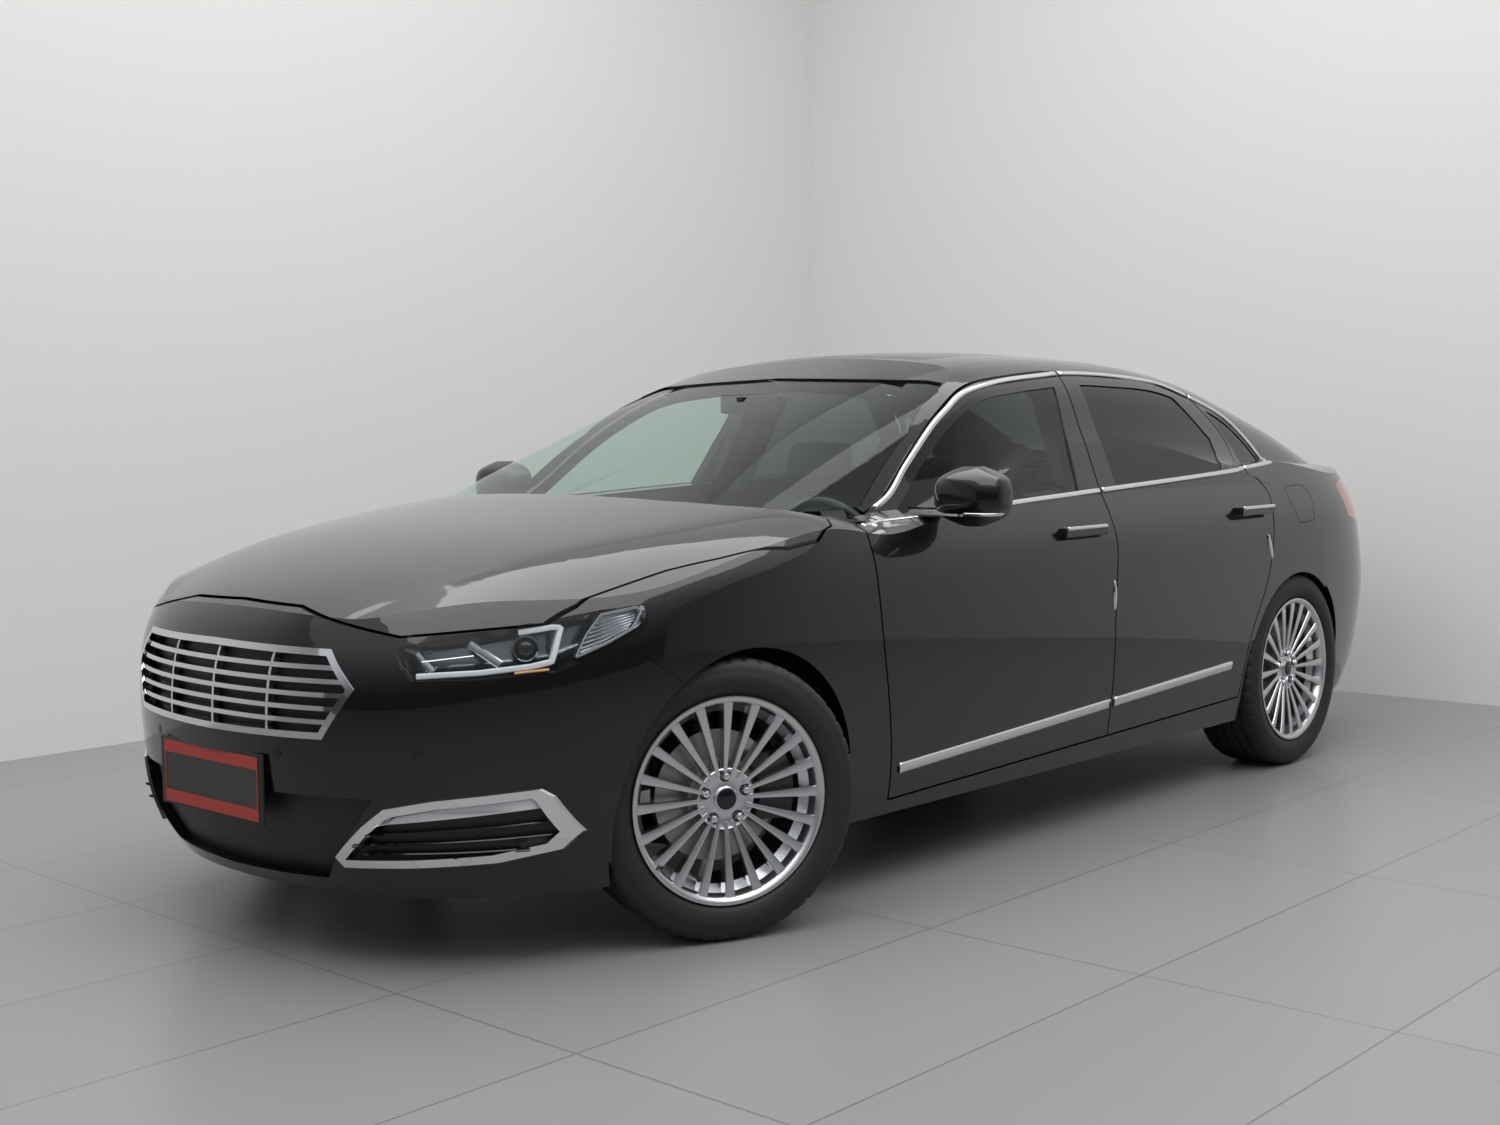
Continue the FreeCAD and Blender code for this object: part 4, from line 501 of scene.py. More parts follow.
def lathe(bm, profile, steps, closed=False, deep=None):
    """An outline of radius and width pairs turned round the Y axis."""
    rows = []
    for i in range(steps):
        angle = 2 * math.pi * i / steps
        rows.append([bm.verts.new((r * math.cos(angle), w, r * math.sin(angle)))
                     for r, w in (deep(i, profile) if deep else profile)])
    across = len(profile)
    for i in range(steps):
        one = rows[i]
        two = rows[(i + 1) % steps]
        for j in range(across if closed else across - 1):
            k = (j + 1) % across
            bm.faces.new((one[j], two[j], two[k], one[k]))


def tyre_profile():
    """The tyre's outer outline from one bead to the other, with its four running grooves."""
    tread = [(TREAD_RADIUS, TREAD_HALF)]
    for middle in (GROOVES[0], GROOVES[1], -GROOVES[1], -GROOVES[0]):
        tread += [(TREAD_RADIUS, middle + GROOVE_HALF), (TREAD_RADIUS - GROOVE_DEPTH, middle + GROOVE_HALF * 0.7),
                  (TREAD_RADIUS - GROOVE_DEPTH, middle - GROOVE_HALF * 0.7), (TREAD_RADIUS, middle - GROOVE_HALF)]
    tread.append((TREAD_RADIUS, -TREAD_HALF))
    return TYRE_SIDE + tread + [(r, -w) for r, w in reversed(TYRE_SIDE)]


def cut_blocks(i, profile):
    """Cross grooves of the tread blocks on the tyre's shoulders."""
    if i % BLOCK_EVERY:
        return profile
    return [(r - BLOCK_CUT if 0.0675 < abs(w) < 0.1085 and r > 0.34 else r, w) for r, w in profile]


def tyre_mesh(bm):
    """One tyre with its tread."""
    lathe(bm, tyre_profile() + [(0.2425, -0.070), (0.300, -0.105), (0.335, -0.080), (0.335, 0.080),
                                (0.300, 0.105), (0.2425, 0.070)], TYRE_STEPS, True, cut_blocks)


def spoke_mesh(bm, angle):
    """One spoke: flat bright face with soft edges, widening to the rim."""
    stations = [(0.058, 0.0060, 0.0830, 0.026), (0.080, 0.0066, 0.0850, 0.027), (0.110, 0.0076, 0.0892, 0.029),
                (0.150, 0.0091, 0.0950, 0.032), (0.190, 0.0108, 0.1002, 0.036), (0.222, 0.0124, 0.1035, 0.040),
                (0.2440, 0.0142, 0.1048, 0.044)]
    turn = Matrix.Rotation(-angle, 3, "Y")
    rows = []
    for radius, half, face, depth in stations:
        outline = [(-half, face - 0.0035), (-half + 0.0016, face - 0.0006), (-half * 0.5, face), (half * 0.5, face),
                   (half - 0.0016, face - 0.0006), (half, face - 0.0035), (half * 0.62, face - depth),
                   (-half * 0.62, face - depth)]
        rows.append([bm.verts.new(turn @ Vector((radius, w, t))) for t, w in outline])
    join_rings(bm, rows)
    close_ends(bm, rows)


def rim_mesh(bm):
    """Barrel, flanges, hub face and spokes of a wheel."""
    outer = [(0.2585, 0.1125), (0.2585, 0.1060), (0.2530, 0.1040), (0.2415, 0.1020), (0.2415, 0.073),
             (0.2250, 0.060), (0.2250, -0.060), (0.2415, -0.073), (0.2415, -0.102), (0.2585, -0.106),
             (0.2585, -0.1125), (0.2490, -0.1125), (0.2330, -0.070), (0.2160, -0.055), (0.2160, 0.055),
             (0.2360, 0.072), (0.2385, 0.100), (0.2440, 0.1075), (0.2500, 0.1120), (0.2550, 0.1130)]
    lathe(bm, outer, 128, True)
    lathe(bm, [(0.0002, 0.0880), (0.0290, 0.0866), (0.0310, 0.0850), (0.0320, 0.0800), (0.0400, 0.0790),
               (0.0690, 0.0800), (0.0745, 0.0835), (0.0765, 0.0820), (0.0780, 0.0740), (0.0760, 0.0560),
               (HUB_BORE, 0.0550), (HUB_BORE, 0.0670), (0.0002, 0.0670)], 96, False)
    for i in range(SPOKES):
        spoke_mesh(bm, 2 * math.pi * i / SPOKES)


def add_wheels(finishes):
    """Tyres with tread, silver spoked wheels, nuts, blank caps, discs and valves."""
    for end, side, place in wheel_places():
        label = "%s %s" % (end.title(), "Left" if side > 0 else "Right")
        body = side_name(end + "_wheel", side)
        flip = place if side > 0 else place @ Matrix.Scale(-1, 4, (0, 1, 0))

        def piece(name, build, finish, smooth=True):
            """One piece of this wheel."""
            bm = bmesh.new()
            build(bm)
            bmesh.ops.transform(bm, matrix=flip, verts=bm.verts)
            made = new_piece("%s %s" % (name, label), bm, finishes[finish], body, smooth)
            sharpen(made, 35)
            return made

        tyre = piece("Tyre", tyre_mesh, "rubber")
        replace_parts(tyre, side_name("tyre_" + end, side))
        rim = piece("Wheel", rim_mesh, "alloy")
        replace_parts(rim, side_name("wheel_" + end, side))
        piece("Brake Disc", disc_mesh, "disc")
        piece("Wheel Nuts", nuts_mesh, "chrome")
        # Painted shade: dark rings stand for the shaded recesses round the nuts.
        piece("Nut Wells", nut_shade_mesh, "dark_plastic")
        piece("Hub Cap", cap_mesh, "cap")
        piece("Valve", valve_mesh, "dark_plastic")


def disc_mesh(bm):
    """The brake disc with its hat."""
    lathe(bm, [(0.085, -0.006), (0.165, -0.006), (0.165, 0.022), (0.092, 0.022), (0.090, 0.0545),
               (HUB_BORE, 0.0545), (HUB_BORE, 0.046), (0.085, 0.046)], 96, True)


def nut_place(i):
    """The middle of one of the wheel nuts."""
    angle = 2 * math.pi * i / NUTS + NUT_START
    return Vector((NUT_CIRCLE * math.cos(angle), 0, NUT_CIRCLE * math.sin(angle)))


def rings_at(bm, middle, rings, count):
    """Rings of a radius and a level each, round an axis through the middle along Y."""
    return [ring_of(bm, count, lambda angle, radius=radius, level=level:
                    middle + Vector((radius * math.cos(angle), level, radius * math.sin(angle))))
            for radius, level in rings]


def nuts_mesh(bm):
    """Hexagon nuts with domed ends."""
    for i in range(NUTS):
        rows = rings_at(bm, nut_place(i), NUT_RINGS, 6)
        join_rings(bm, rows)
        bm.faces.new(rows[-1])
        bm.faces.new(list(reversed(rows[0])))


def nut_shade_mesh(bm):
    """Dark rings round the nuts: painted shade of the recesses the nuts sit in, laid on the flat hub face."""
    for i in range(NUTS):
        join_rings(bm, rings_at(bm, nut_place(i), NUT_SHADE_RINGS, 24))


def cap_mesh(bm):
    """The blank dark cap in the middle."""
    lathe(bm, [(0.0003, 0.0893), (0.0240, 0.0885), (0.0262, 0.0876), (0.0268, 0.0860), (0.0003, 0.0858)], 64, False)


def valve_mesh(bm):
    """The valve stem at the rim."""
    radius, level = VALVE_PLACE
    middle = Vector((radius * math.cos(VALVE_ANGLE), level, radius * math.sin(VALVE_ANGLE)))
    turn = Matrix.Rotation(math.radians(90), 4, "X")
    bmesh.ops.create_cone(bm, cap_ends=True, segments=16, radius1=VALVE_RADIUS, radius2=VALVE_RADIUS,
                          depth=VALVE_LENGTH, matrix=Matrix.Translation(middle) @ turn)


def sharpen(piece, angle):
    """Hard edges where faces meet at more than an angle in degrees."""
    mesh = piece.data
    bm = bmesh.new()
    bm.from_mesh(mesh)
    limit = math.radians(angle)
    for edge in bm.edges:
        if len(edge.link_faces) == 2 and edge.calc_face_angle(0.0) > limit:
            edge.smooth = False
    bm.to_mesh(mesh)
    bm.free()


# Headlamps, parking sensors, fog lamps, number plate and other small body details

LAMP_LOW = [(2.338, 0.545, 0.735), (2.330, 0.588, 0.698), (2.221, 0.700, 0.701), (2.068, 0.799, 0.711),
            (1.951, 0.842, 0.753), (1.867, 0.863, 0.793), (1.840, 0.864, 0.828)]
LAMP_HIGH = [(2.335, 0.541, 0.768), (2.320, 0.558, 0.777), (2.268, 0.619, 0.790), (2.089, 0.758, 0.825),
             (1.958, 0.818, 0.845), (1.880, 0.846, 0.851), (1.843, 0.857, 0.850)]


def along_line(line, share):
    """A point at a share of a polyline's length."""
    lengths = [math.dist(a, b) for a, b in zip(line, line[1:])]
    at = share * sum(lengths)
    for i, length in enumerate(lengths):
        if at <= length or i == len(lengths) - 1:
            part = at / length
            return Vector(line[i]).lerp(Vector(line[i + 1]), part)
        at -= length


def lamp_point(u, v, depth):
    """A place in the left headlamp: u from the nose outward, v from the foot up, depth behind the cover."""
    low = along_line(LAMP_LOW, u)
    high = along_line(LAMP_HIGH, u)
    onward = (along_line(LAMP_LOW, min(u + 0.04, 1)).lerp(along_line(LAMP_HIGH, min(u + 0.04, 1)), v)
              - along_line(LAMP_LOW, max(u - 0.04, 0)).lerp(along_line(LAMP_HIGH, max(u - 0.04, 0)), v))
    inward = onward.cross(high - low)
    inward.z *= 0.3
    inward.normalize()
    if inward.x > 0:
        inward = -inward
    return low.lerp(high, v) + inward * depth


def sheet_grid(bm, place, columns, rows):
    """A sheet of faces over two parameters from 0 to 1."""
    grid = [[bm.verts.new(place(i / columns, j / rows)) for j in range(rows + 1)] for i in range(columns + 1)]
    for i in range(columns):
        for j in range(rows):
            bm.faces.new((grid[i][j], grid[i + 1][j], grid[i + 1][j + 1], grid[i][j + 1]))


def both_lamps(name, build, finish, body="body", smooth=True):
    """A piece of the left side and its twin on the right."""
    made = []
    for side in (1, -1):
        bm = bmesh.new()
        build(bm)
        if side < 0:
            bmesh.ops.transform(bm, matrix=Matrix.Scale(-1, 4, (0, 1, 0)), verts=bm.verts)
        label = "%s %s" % (name, "Left" if side > 0 else "Right")
        piece = new_piece(label, bm, finish, body, smooth)
        sharpen(piece, 35)
        made.append(piece)
    return made


def tube_between(bm, start, end, radius, steps=32):
    """A short closed tube."""
    way = Vector(end) - Vector(start)
    turn = way.to_track_quat("Z", "Y").to_matrix().to_4x4()
    middle = (Vector(start) + Vector(end)) / 2
    bmesh.ops.create_cone(bm, cap_ends=True, segments=steps, radius1=radius, radius2=radius, depth=way.length,
                          matrix=Matrix.Translation(middle) @ turn)


def bowl_depth(u, v):
    """How far the dark housing lies behind the cover."""
    edge = min(1.0, 6 * min(u, 1 - u), 3.2 * min(v, 1 - v))
    return 0.004 + 0.062 * math.sin(max(edge, 0) * math.pi / 2)


def lamp_band(bm, path, width, depth, rise=0.005, parts=14):
    """A raised band inside the lamp along corners of (u, v)."""
    places = []
    for (u0, v0), (u1, v1) in zip(path, path[1:]):
        places += [(u0 + (u1 - u0) * t / parts, v0 + (v1 - v0) * t / parts) for t in range(parts)]
    places.append(path[-1])
    points = [lamp_point(u, v, depth) for u, v in places]
    normals = [(lamp_point(u, v, 0.0) - point).normalized() for (u, v), point in zip(places, points)]
    strip_mesh(bm, points, normals, crowned(width, rise, 0.014))


LAMP_BANDS = [
    ("Lamp Guide", "lamp_light", 0.013, 0.010,
     [(0.47, 0.86), (0.60, 0.85), (0.635, 0.80), (0.575, 0.20), (0.50, 0.15), (0.30, 0.14), (0.10, 0.13)]),
    ("Lamp Divider", "silver", 0.020, 0.020, [(0.285, 0.80), (0.395, 0.26)]),
    ("Lamp Inner Bar", "silver", 0.014, 0.020, [(0.085, 0.74), (0.155, 0.22)]),
    ("Lamp Shelf", "silver", 0.004, 0.018, [(0.11, 0.50), (0.30, 0.52)]),
    ("Lamp Outer Frame", "silver", 0.007, 0.008,
     [(0.665, 0.14), (0.72, 0.50), (0.80, 0.88), (0.955, 0.90), (0.965, 0.60), (0.90, 0.20), (0.665, 0.14)]),
    ("Lamp Foot", "amber", 0.006, 0.008, [(0.44, 0.055), (0.56, 0.06)]),
]


RIB_FOOT = 0.68
RIB_LEAN = 0.10
RIB_END = 0.955
RIB_COUNT = 8
LAMP_RING = [(0.030, -0.026), (0.030, 0.000), (0.0275, 0.003), (0.0240, 0.000), (0.0235, -0.022)]
LAMP_AIM = (0.490, 0.52)
LAMP_FRONT = 0.024
LAMP_BACK = 0.060
LAMP_BALL = 0.0238


def add_headlamps(finishes):
    """Metal housings with round lamps, a frosted guide, bright bands and a ribbed outer part under clear covers."""
    def housing(bm):
        sheet_grid(bm, lambda u, v: lamp_point(u, v, bowl_depth(u, v)), 48, 14)

    def ribs(bm):
        def place(u, v):
            teeth = (v * RIB_COUNT) % 1.0
            lean = RIB_FOOT + RIB_LEAN * v
            return lamp_point(lean + (RIB_END - lean) * u, 0.16 + 0.70 * v, 0.012 + 0.009 * teeth)
        sheet_grid(bm, place, 18, 80)

    both_lamps("Lamp Housing", housing, finishes["lamp_metal"])
    both_lamps("Lamp Ribs", ribs, finishes["silver"])
    for name, finish, width, depth, path in LAMP_BANDS:
        both_lamps(name, lambda bm, path=path, width=width, depth=depth: lamp_band(bm, path, width, depth),
                   finishes[finish])
    middle = Vector(lamp_point(*LAMP_AIM, LAMP_FRONT))
    back = Vector(lamp_point(*LAMP_AIM, LAMP_BACK))
    turn = (middle - back).to_track_quat("Z", "Y").to_matrix()

    def ring(bm):
        join_rings(bm, [ring_of(bm, 40, lambda angle, radius=radius, level=level: middle + turn @ Vector(
            (radius * math.cos(angle), radius * math.sin(angle), level))) for radius, level in LAMP_RING])

    def ball(bm):
        bmesh.ops.create_uvsphere(bm, u_segments=40, v_segments=20, radius=LAMP_BALL,
                                  matrix=Matrix.Translation(middle.lerp(back, 0.3)))

    both_lamps("Lamp Ring", ring, finishes["silver"])
    both_lamps("Lamp Ball", ball, finishes["gloss_plastic"])


FRONT_SENSORS = [(0.60, 0.535), (-0.60, 0.535), (0.262, 0.520), (-0.262, 0.520)]
REAR_SENSORS = [(0.62, 0.52), (-0.62, 0.52), (0.22, 0.52), (-0.22, 0.52)]
SENSOR_RADIUS = 0.0105
FAR_OUT = 3.2


def add_sensors(finishes):
    """Parking sensors set in the bumper's skin."""
    tree = skin_tree(["front_bumper", "rear_bumper"])
    bm = bmesh.new()
    for end, places in ((1, FRONT_SENSORS), (-1, REAR_SENSORS)):
        for y, z in places:
            place, normal = cast(tree, (end * FAR_OUT, y, z), (-end, 0, 0))
            tube_between(bm, place - normal * 0.004, place + normal * 0.0012, SENSOR_RADIUS)
    sharpen(new_piece("Parking Sensors", bm, finishes["gloss_plastic"]), 35)


def outlined(points, count):
    """A closed outline resampled to even steps."""
    closed = list(points) + [points[0]]
    return [along_line([(y, z, 0.0) for y, z in closed], i / count)[:2] for i in range(count)]


FOG_STEPS = 72
FOG_MIDDLE = (0.638, 0.395)
FOG_LEVELS = [(0.001, 0.0), (0.018, 0.0), (0.020, 0.06), (0.020, 0.14)]
FOG_BLADES = [((0.475, 0.338), (0.757, 0.362)), ((0.44, 0.312), (0.757, 0.330)), ((0.44, 0.290), (0.740, 0.300))]
FOG_LAMP = [(0.507, 0.364), (0.536, 0.384), (0.624, 0.4035), (0.757, 0.4195), (0.7615, 0.396), (0.622, 0.378)]


def add_fog_lamps(finishes):
    """Strip lamps at the top of the dark recesses, with dark blades under them."""
    tree = skin_tree(["fog_trims"])

    def strip_lamp(bm):
        rings = []
        for lift, shrink in FOG_LEVELS:
            ring = []
            for y, z in outlined(FOG_LAMP, FOG_STEPS):
                near = Vector((y, z)).lerp(Vector(FOG_MIDDLE), shrink)
                place, normal = cast(tree, (FAR_OUT, near.x, near.y), (-1, 0, 0))
                ring.append(bm.verts.new((place.x + lift, near.x, near.y)))
            rings.append(ring)
        join_rings(bm, rings)
        bm.faces.new(rings[-1])
        bm.faces.new(list(reversed(rings[0])))

    both_lamps("Strip Lamp", strip_lamp, finishes["lamp_light"])

    def blades(bm):
        for start, end in FOG_BLADES:
            places = [Vector(start).lerp(Vector(end), i / 24) for i in range(25)]
            points = [cast(tree, (FAR_OUT, near.x, near.y), (-1, 0, 0))[0] for near in places]
            strip_mesh(bm, points, [Vector((1, 0, 0))] * len(points), crowned(0.007, 0.014, 0.002))

    both_lamps("Fog Blades", blades, finishes["gloss_plastic"])


PLATE_FACE = 2.489
PLATE_HALF = 0.206
PLATE_LEVELS = (0.3505, 0.5035)
PLATE_BAND = 0.0295
PLATE_EDGE = 0.004
PLATE_RISE = 0.0012
PLATE_SEAM = 0.0005
HOLDER_HALF = 0.226
HOLDER_LEVELS = (0.343, 0.512)


def add_plate(finishes):
    """A blank plate: dark field, coloured bands above and below, in a dark holder."""
    low, high = PLATE_LEVELS
    block("Plate Holder", (PLATE_FACE - 0.006, -HOLDER_HALF, HOLDER_LEVELS[0]),
          (PLATE_FACE - PLATE_SEAM, HOLDER_HALF, HOLDER_LEVELS[1]), finishes["dark_plastic"], bevel=0.002)
    bm = bmesh.new()
    inner_low = low + PLATE_BAND + PLATE_SEAM
    inner_high = high - PLATE_BAND - PLATE_SEAM
    for left, right, foot, top in ((-PLATE_HALF, PLATE_HALF, low, low + PLATE_BAND),
                                   (-PLATE_HALF, PLATE_HALF, high - PLATE_BAND, high),
                                   (-PLATE_HALF, -PLATE_HALF + PLATE_EDGE, inner_low, inner_high),
                                   (PLATE_HALF - PLATE_EDGE, PLATE_HALF, inner_low, inner_high)):
        box_mesh(bm, (PLATE_FACE, left, foot), (PLATE_FACE + PLATE_RISE, right, top))
    new_piece("Plate Bands", bm, finishes["plate"], "body", False)


ROOF_GLASS = [("Sunroof Glass", -0.335, 0.165, 0.405, 0.0022), ("Rear Roof Glass", -0.860, -0.385, 0.395, 0.0012)]


def add_sunroof(finishes):
    """The dark glass of the sunroof and the fixed glass behind it, lying on the roof."""
    tree = skin_tree(["roof_panel"])

    def laid(y, x, lift):
        place, normal, index, distance = tree.ray_cast(Vector((x, y, 2.0)), Vector((0, 0, -1)))
        return Vector((x, y, place.z + lift))

    for name, rear, front, half, rise in ROOF_GLASS:
        bm = bmesh.new()
        sheet_grid(bm, lambda u, v: laid(-half + 2 * half * u, rear + (front - rear) * v,
                                         0.0002 + rise * min(1, 10 * min(u, 1 - u, v, 1 - v))), 30, 30)
        new_piece(name, bm, finishes["gloss_plastic"])


MIRROR_MIDDLE = (0.715, 0.990, 1.018)
MIRROR_SWEEP = (-62, 88)
MIRROR_STEPS = 33
MIRROR_GLASS = (0.685, 0.990, 1.065)
MIRROR_GLASS_HALF = (0.092, 0.062)
MIRROR_GLASS_RINGS = [(0.92, 0.0015), (0.88, 0.003), (0.0, 0.003)]


def add_mirror_parts(finishes):
    """Bright blades and glass of the door mirrors."""
    first, last = MIRROR_SWEEP
    for side in (1, -1):
        label = "Left" if side > 0 else "Right"
        body = side_name("front_door", side)
        tree = skin_tree([side_name("mirror", side)])
        points = []
        normals = []
        for i in range(MIRROR_STEPS + 1):
            angle = math.radians(first + (last - first) * i / MIRROR_STEPS)
            way = Vector((math.cos(angle), side * math.sin(angle), 0))
            middle = Vector((MIRROR_MIDDLE[0], side * MIRROR_MIDDLE[1], MIRROR_MIDDLE[2]))
            place, normal, index, distance = tree.ray_cast(middle + way * 0.5, -way)
            if place is None:
                continue
            points.append(place)
            normals.append(normal if normal.dot(way) > 0 else -normal)
        if len(points) > 4:
            bm = bmesh.new()
            strip_mesh(bm, points, steady(normals), crowned(0.010, 0.003, 0.006))
            new_piece("Mirror Blade " + label, bm, finishes["chrome"], body)
        bm = bmesh.new()
        x, y, z = MIRROR_GLASS
        rings = []
        for share, back in MIRROR_GLASS_RINGS:
            ring = [squarish(2 * math.pi * k / 48, 0.55) for k in range(48)]
            rings.append([bm.verts.new((x - back, side * (y + MIRROR_GLASS_HALF[0] * share * c),
                                        z + MIRROR_GLASS_HALF[1] * share * s)) for c, s in ring])
        join_rings(bm, rings)
        bmesh.ops.remove_doubles(bm, verts=bm.verts, dist=0.00001)
        new_piece("Mirror Glass " + label, bm, finishes["mirror"], body, False)


HANDLE_LINES = [("front_door", [(0.150, 0.944), (-0.070, 0.944)]), ("rear_door", [(-0.965, 0.959), (-1.190, 0.959)])]
GUARDS = [("front_door", "door_front", -0.1155, 0.724, 0.02), ("rear_door", "door_rear", -1.170, 0.813, 0.35)]
GUARD_HALF = (0.0085, 0.0055, 0.047)


def add_handle_blades(finishes):
    """Bright blades on the door handles."""
    for side in (1, -1):
        skin = side_skin(side)
        label = "Left" if side > 0 else "Right"
        for stem, line in HANDLE_LINES:
            body = side_name(stem, side)
            for found, points, normals in side_runs(skin, line, side, 0.01):
                if found == body:
                    bm = bmesh.new()
                    strip_mesh(bm, points, [Vector((0, side, 0))] * len(points), crowned(0.011, 0.003, 0.004))
                    new_piece("Handle Blade %s %s" % (stem.replace("_", " ").title(), label), bm,
                              finishes["chrome"], body)
                    break


def laid_outline(bm, tree, outline, side, width):
    """A thin closed groove line on the car's side."""
    points = []
    normals = []
    for x, z in smooth_path(outline, 0.01, True):
        place, normal = cast(tree, (x, side * WIDE_OUT, z), (0, -side, 0))
        points.append(place)
        normals.append(normal)
    strip_mesh(bm, points, normals, [(-width / 2, -0.002), (width / 2, -0.002), (width / 2, 0.0003),
                                     (-width / 2, 0.0003)], True)


def add_side_details(finishes):
    """Filler flap outline and the guards on the doors' rear edges."""
    bm = bmesh.new()
    laid_outline(bm, skin_tree(["body_side_left", "rear_bumper"]), FLAP_LINE, 1, 0.003)
    new_piece("Filler Flap Line", bm, finishes["liner"])
    for side in (1, -1):
        for stem, node, x, z, lean in GUARDS:
            tree = skin_tree([side_name(node, side)])
            place, normal = cast(tree, (x, side * WIDE_OUT, z), (0, -side, 0))
            bm = bmesh.new()
            bmesh.ops.create_uvsphere(bm, u_segments=32, v_segments=16, radius=1.0)
            bmesh.ops.scale(bm, vec=GUARD_HALF, verts=bm.verts)
            bmesh.ops.rotate(bm, cent=(0, 0, 0), matrix=Matrix.Rotation(lean, 3, "Y"), verts=bm.verts)
            bmesh.ops.translate(bm, vec=place, verts=bm.verts)
            new_piece("Edge Guard %s %s" % (stem, "Left" if side > 0 else "Right"), bm, finishes["chrome"],
                      side_name(stem, side))


# Cabin

def pad_mesh(bm, stations, squareness=3.2, across=28):
    """A stuffed closed form lofted along stations of (x, z, half width, half thickness, middle y)."""
    rows = []
    count = len(stations)
    for i, (x, z, half, thick, middle) in enumerate(stations):
        before = stations[max(i - 1, 0)]
        after = stations[min(i + 1, count - 1)]
        along = Vector((after[0] - before[0], 0, after[1] - before[1])).normalized()
        up = Vector((-along.z, 0, along.x))
        row = []
        for k in range(across):
            c, s = squarish(2 * math.pi * k / across, 2 / squareness)
            row.append(bm.verts.new(Vector((x, middle + half * c, z)) + up * thick * s))
        rows.append(row)
    join_rings(bm, rows)
    close_ends(bm, rows)


def rounded_stations(start, end, half, thick, middle, bulge=0.15, count=14):
    """Stations of a cushion from one end to the other with rounded ends."""
    stations = []
    for i in range(count + 1):
        t = i / count
        close = min(1.0, (1 - abs(2 * t - 1) ** 6) ** 0.5 + 0.02)
        swell = 1 + bulge * math.sin(math.pi * t)
        stations.append((start[0] + (end[0] - start[0]) * t, start[1] + (end[1] - start[1]) * t,
                         half * (0.90 + 0.10 * close), thick * (0.25 + 0.75 * close) * swell, middle))
    return stations


def add_pad(name, start, end, half, thick, middle, material):
    """One cushion of a seat."""
    bm = bmesh.new()
    pad_mesh(bm, rounded_stations(start, end, half, thick, middle))
    piece = new_piece(name, bm, material)
    smoother = piece.modifiers.new("Soft Form", "SUBSURF")
    smoother.levels = 1
    smoother.render_levels = 1
    return piece


def box_mesh(bm, low, high):
    """A plain box between two corners."""
    made = bmesh.ops.create_cube(bm, size=1.0)
    size = Vector(high) - Vector(low)
    middle = (Vector(high) + Vector(low)) / 2
    bmesh.ops.scale(bm, vec=size, verts=made["verts"])
    bmesh.ops.translate(bm, vec=middle, verts=made["verts"])


def block(name, low, high, material, body="body", bevel=0.0):
    """A box piece with softened edges."""
    bm = bmesh.new()
    box_mesh(bm, low, high)
    if bevel:
        bmesh.ops.bevel(bm, geom=list(bm.edges), offset=bevel, segments=3, profile=0.5, affect="EDGES")
    piece = new_piece(name, bm, material, body)
    sharpen(piece, 35)
    return piece


SEAT_MIDDLE = 0.37
SEAT_PLINTH = ((-0.045, 0.2635), (0.40, 0.40))
FRONT_PADS = [("Seat Cushion ", (0.424, 0.452), (-0.02, 0.432), 0.252, 0.058),
              ("Seat Back ", (-0.03, 0.44), (-0.222, 1.03), 0.245, 0.058),
              ("Headrest ", (-0.228, 1.045), (-0.262, 1.195), 0.135, 0.044)]
BENCH_PADS = [("Bench Cushion", (-0.565, 0.436), (-1.03, 0.420), 0.66, 0.058),
              ("Bench Back", (-1.035, 0.44), (-1.262, 0.985), 0.64, 0.062)]
REAR_HEADREST = ((-1.262, 1.0), (-1.283, 1.10), 0.12, 0.040)


def add_seats(finishes):
    """Padded seats in place of the plain ones."""
    (rear, foot), (front, top) = SEAT_PLINTH
    for side in (1, -1):
        y = side * SEAT_MIDDLE
        label = "Left" if side > 0 else "Right"
        plinth = block("Seat Plinth " + label, (rear, y - 0.20, foot), (front, y + 0.20, top),
                       finishes["dark_plastic"], bevel=0.02)
        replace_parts(plinth, "front_seats")
        for name, start, end, half, thick in FRONT_PADS:
            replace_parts(add_pad(name + label, start, end, half, thick, y, finishes["leather"]), "front_seats")
    bench = [add_pad(name, start, end, half, thick, 0.0, finishes["leather"])
             for name, start, end, half, thick in BENCH_PADS]
    bench.append(block("Bench Plinth", (-1.05, -0.64, 0.2635), (-0.60, 0.64, 0.39), finishes["dark_plastic"],
                       bevel=0.02))
    for i, y in enumerate((-0.40, 0.0, 0.40)):
        add_pad("Rear Headrest %d" % (i + 1), *REAR_HEADREST, y, finishes["leather"])
    for piece in bench:
        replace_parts(piece, "rear_bench")


HEADLINER_START = 0.40
HEADLINER_LENGTH = 1.35
HEADLINER_HALF = 0.50
INSIDE_MIRROR = [("Inside Mirror", (0.520, -0.125, 1.300), (0.545, 0.125, 1.362), 0.010),
                 ("Inside Mirror Stem", (0.540, -0.012, 1.330), (0.585, 0.012, 1.352), 0.0)]


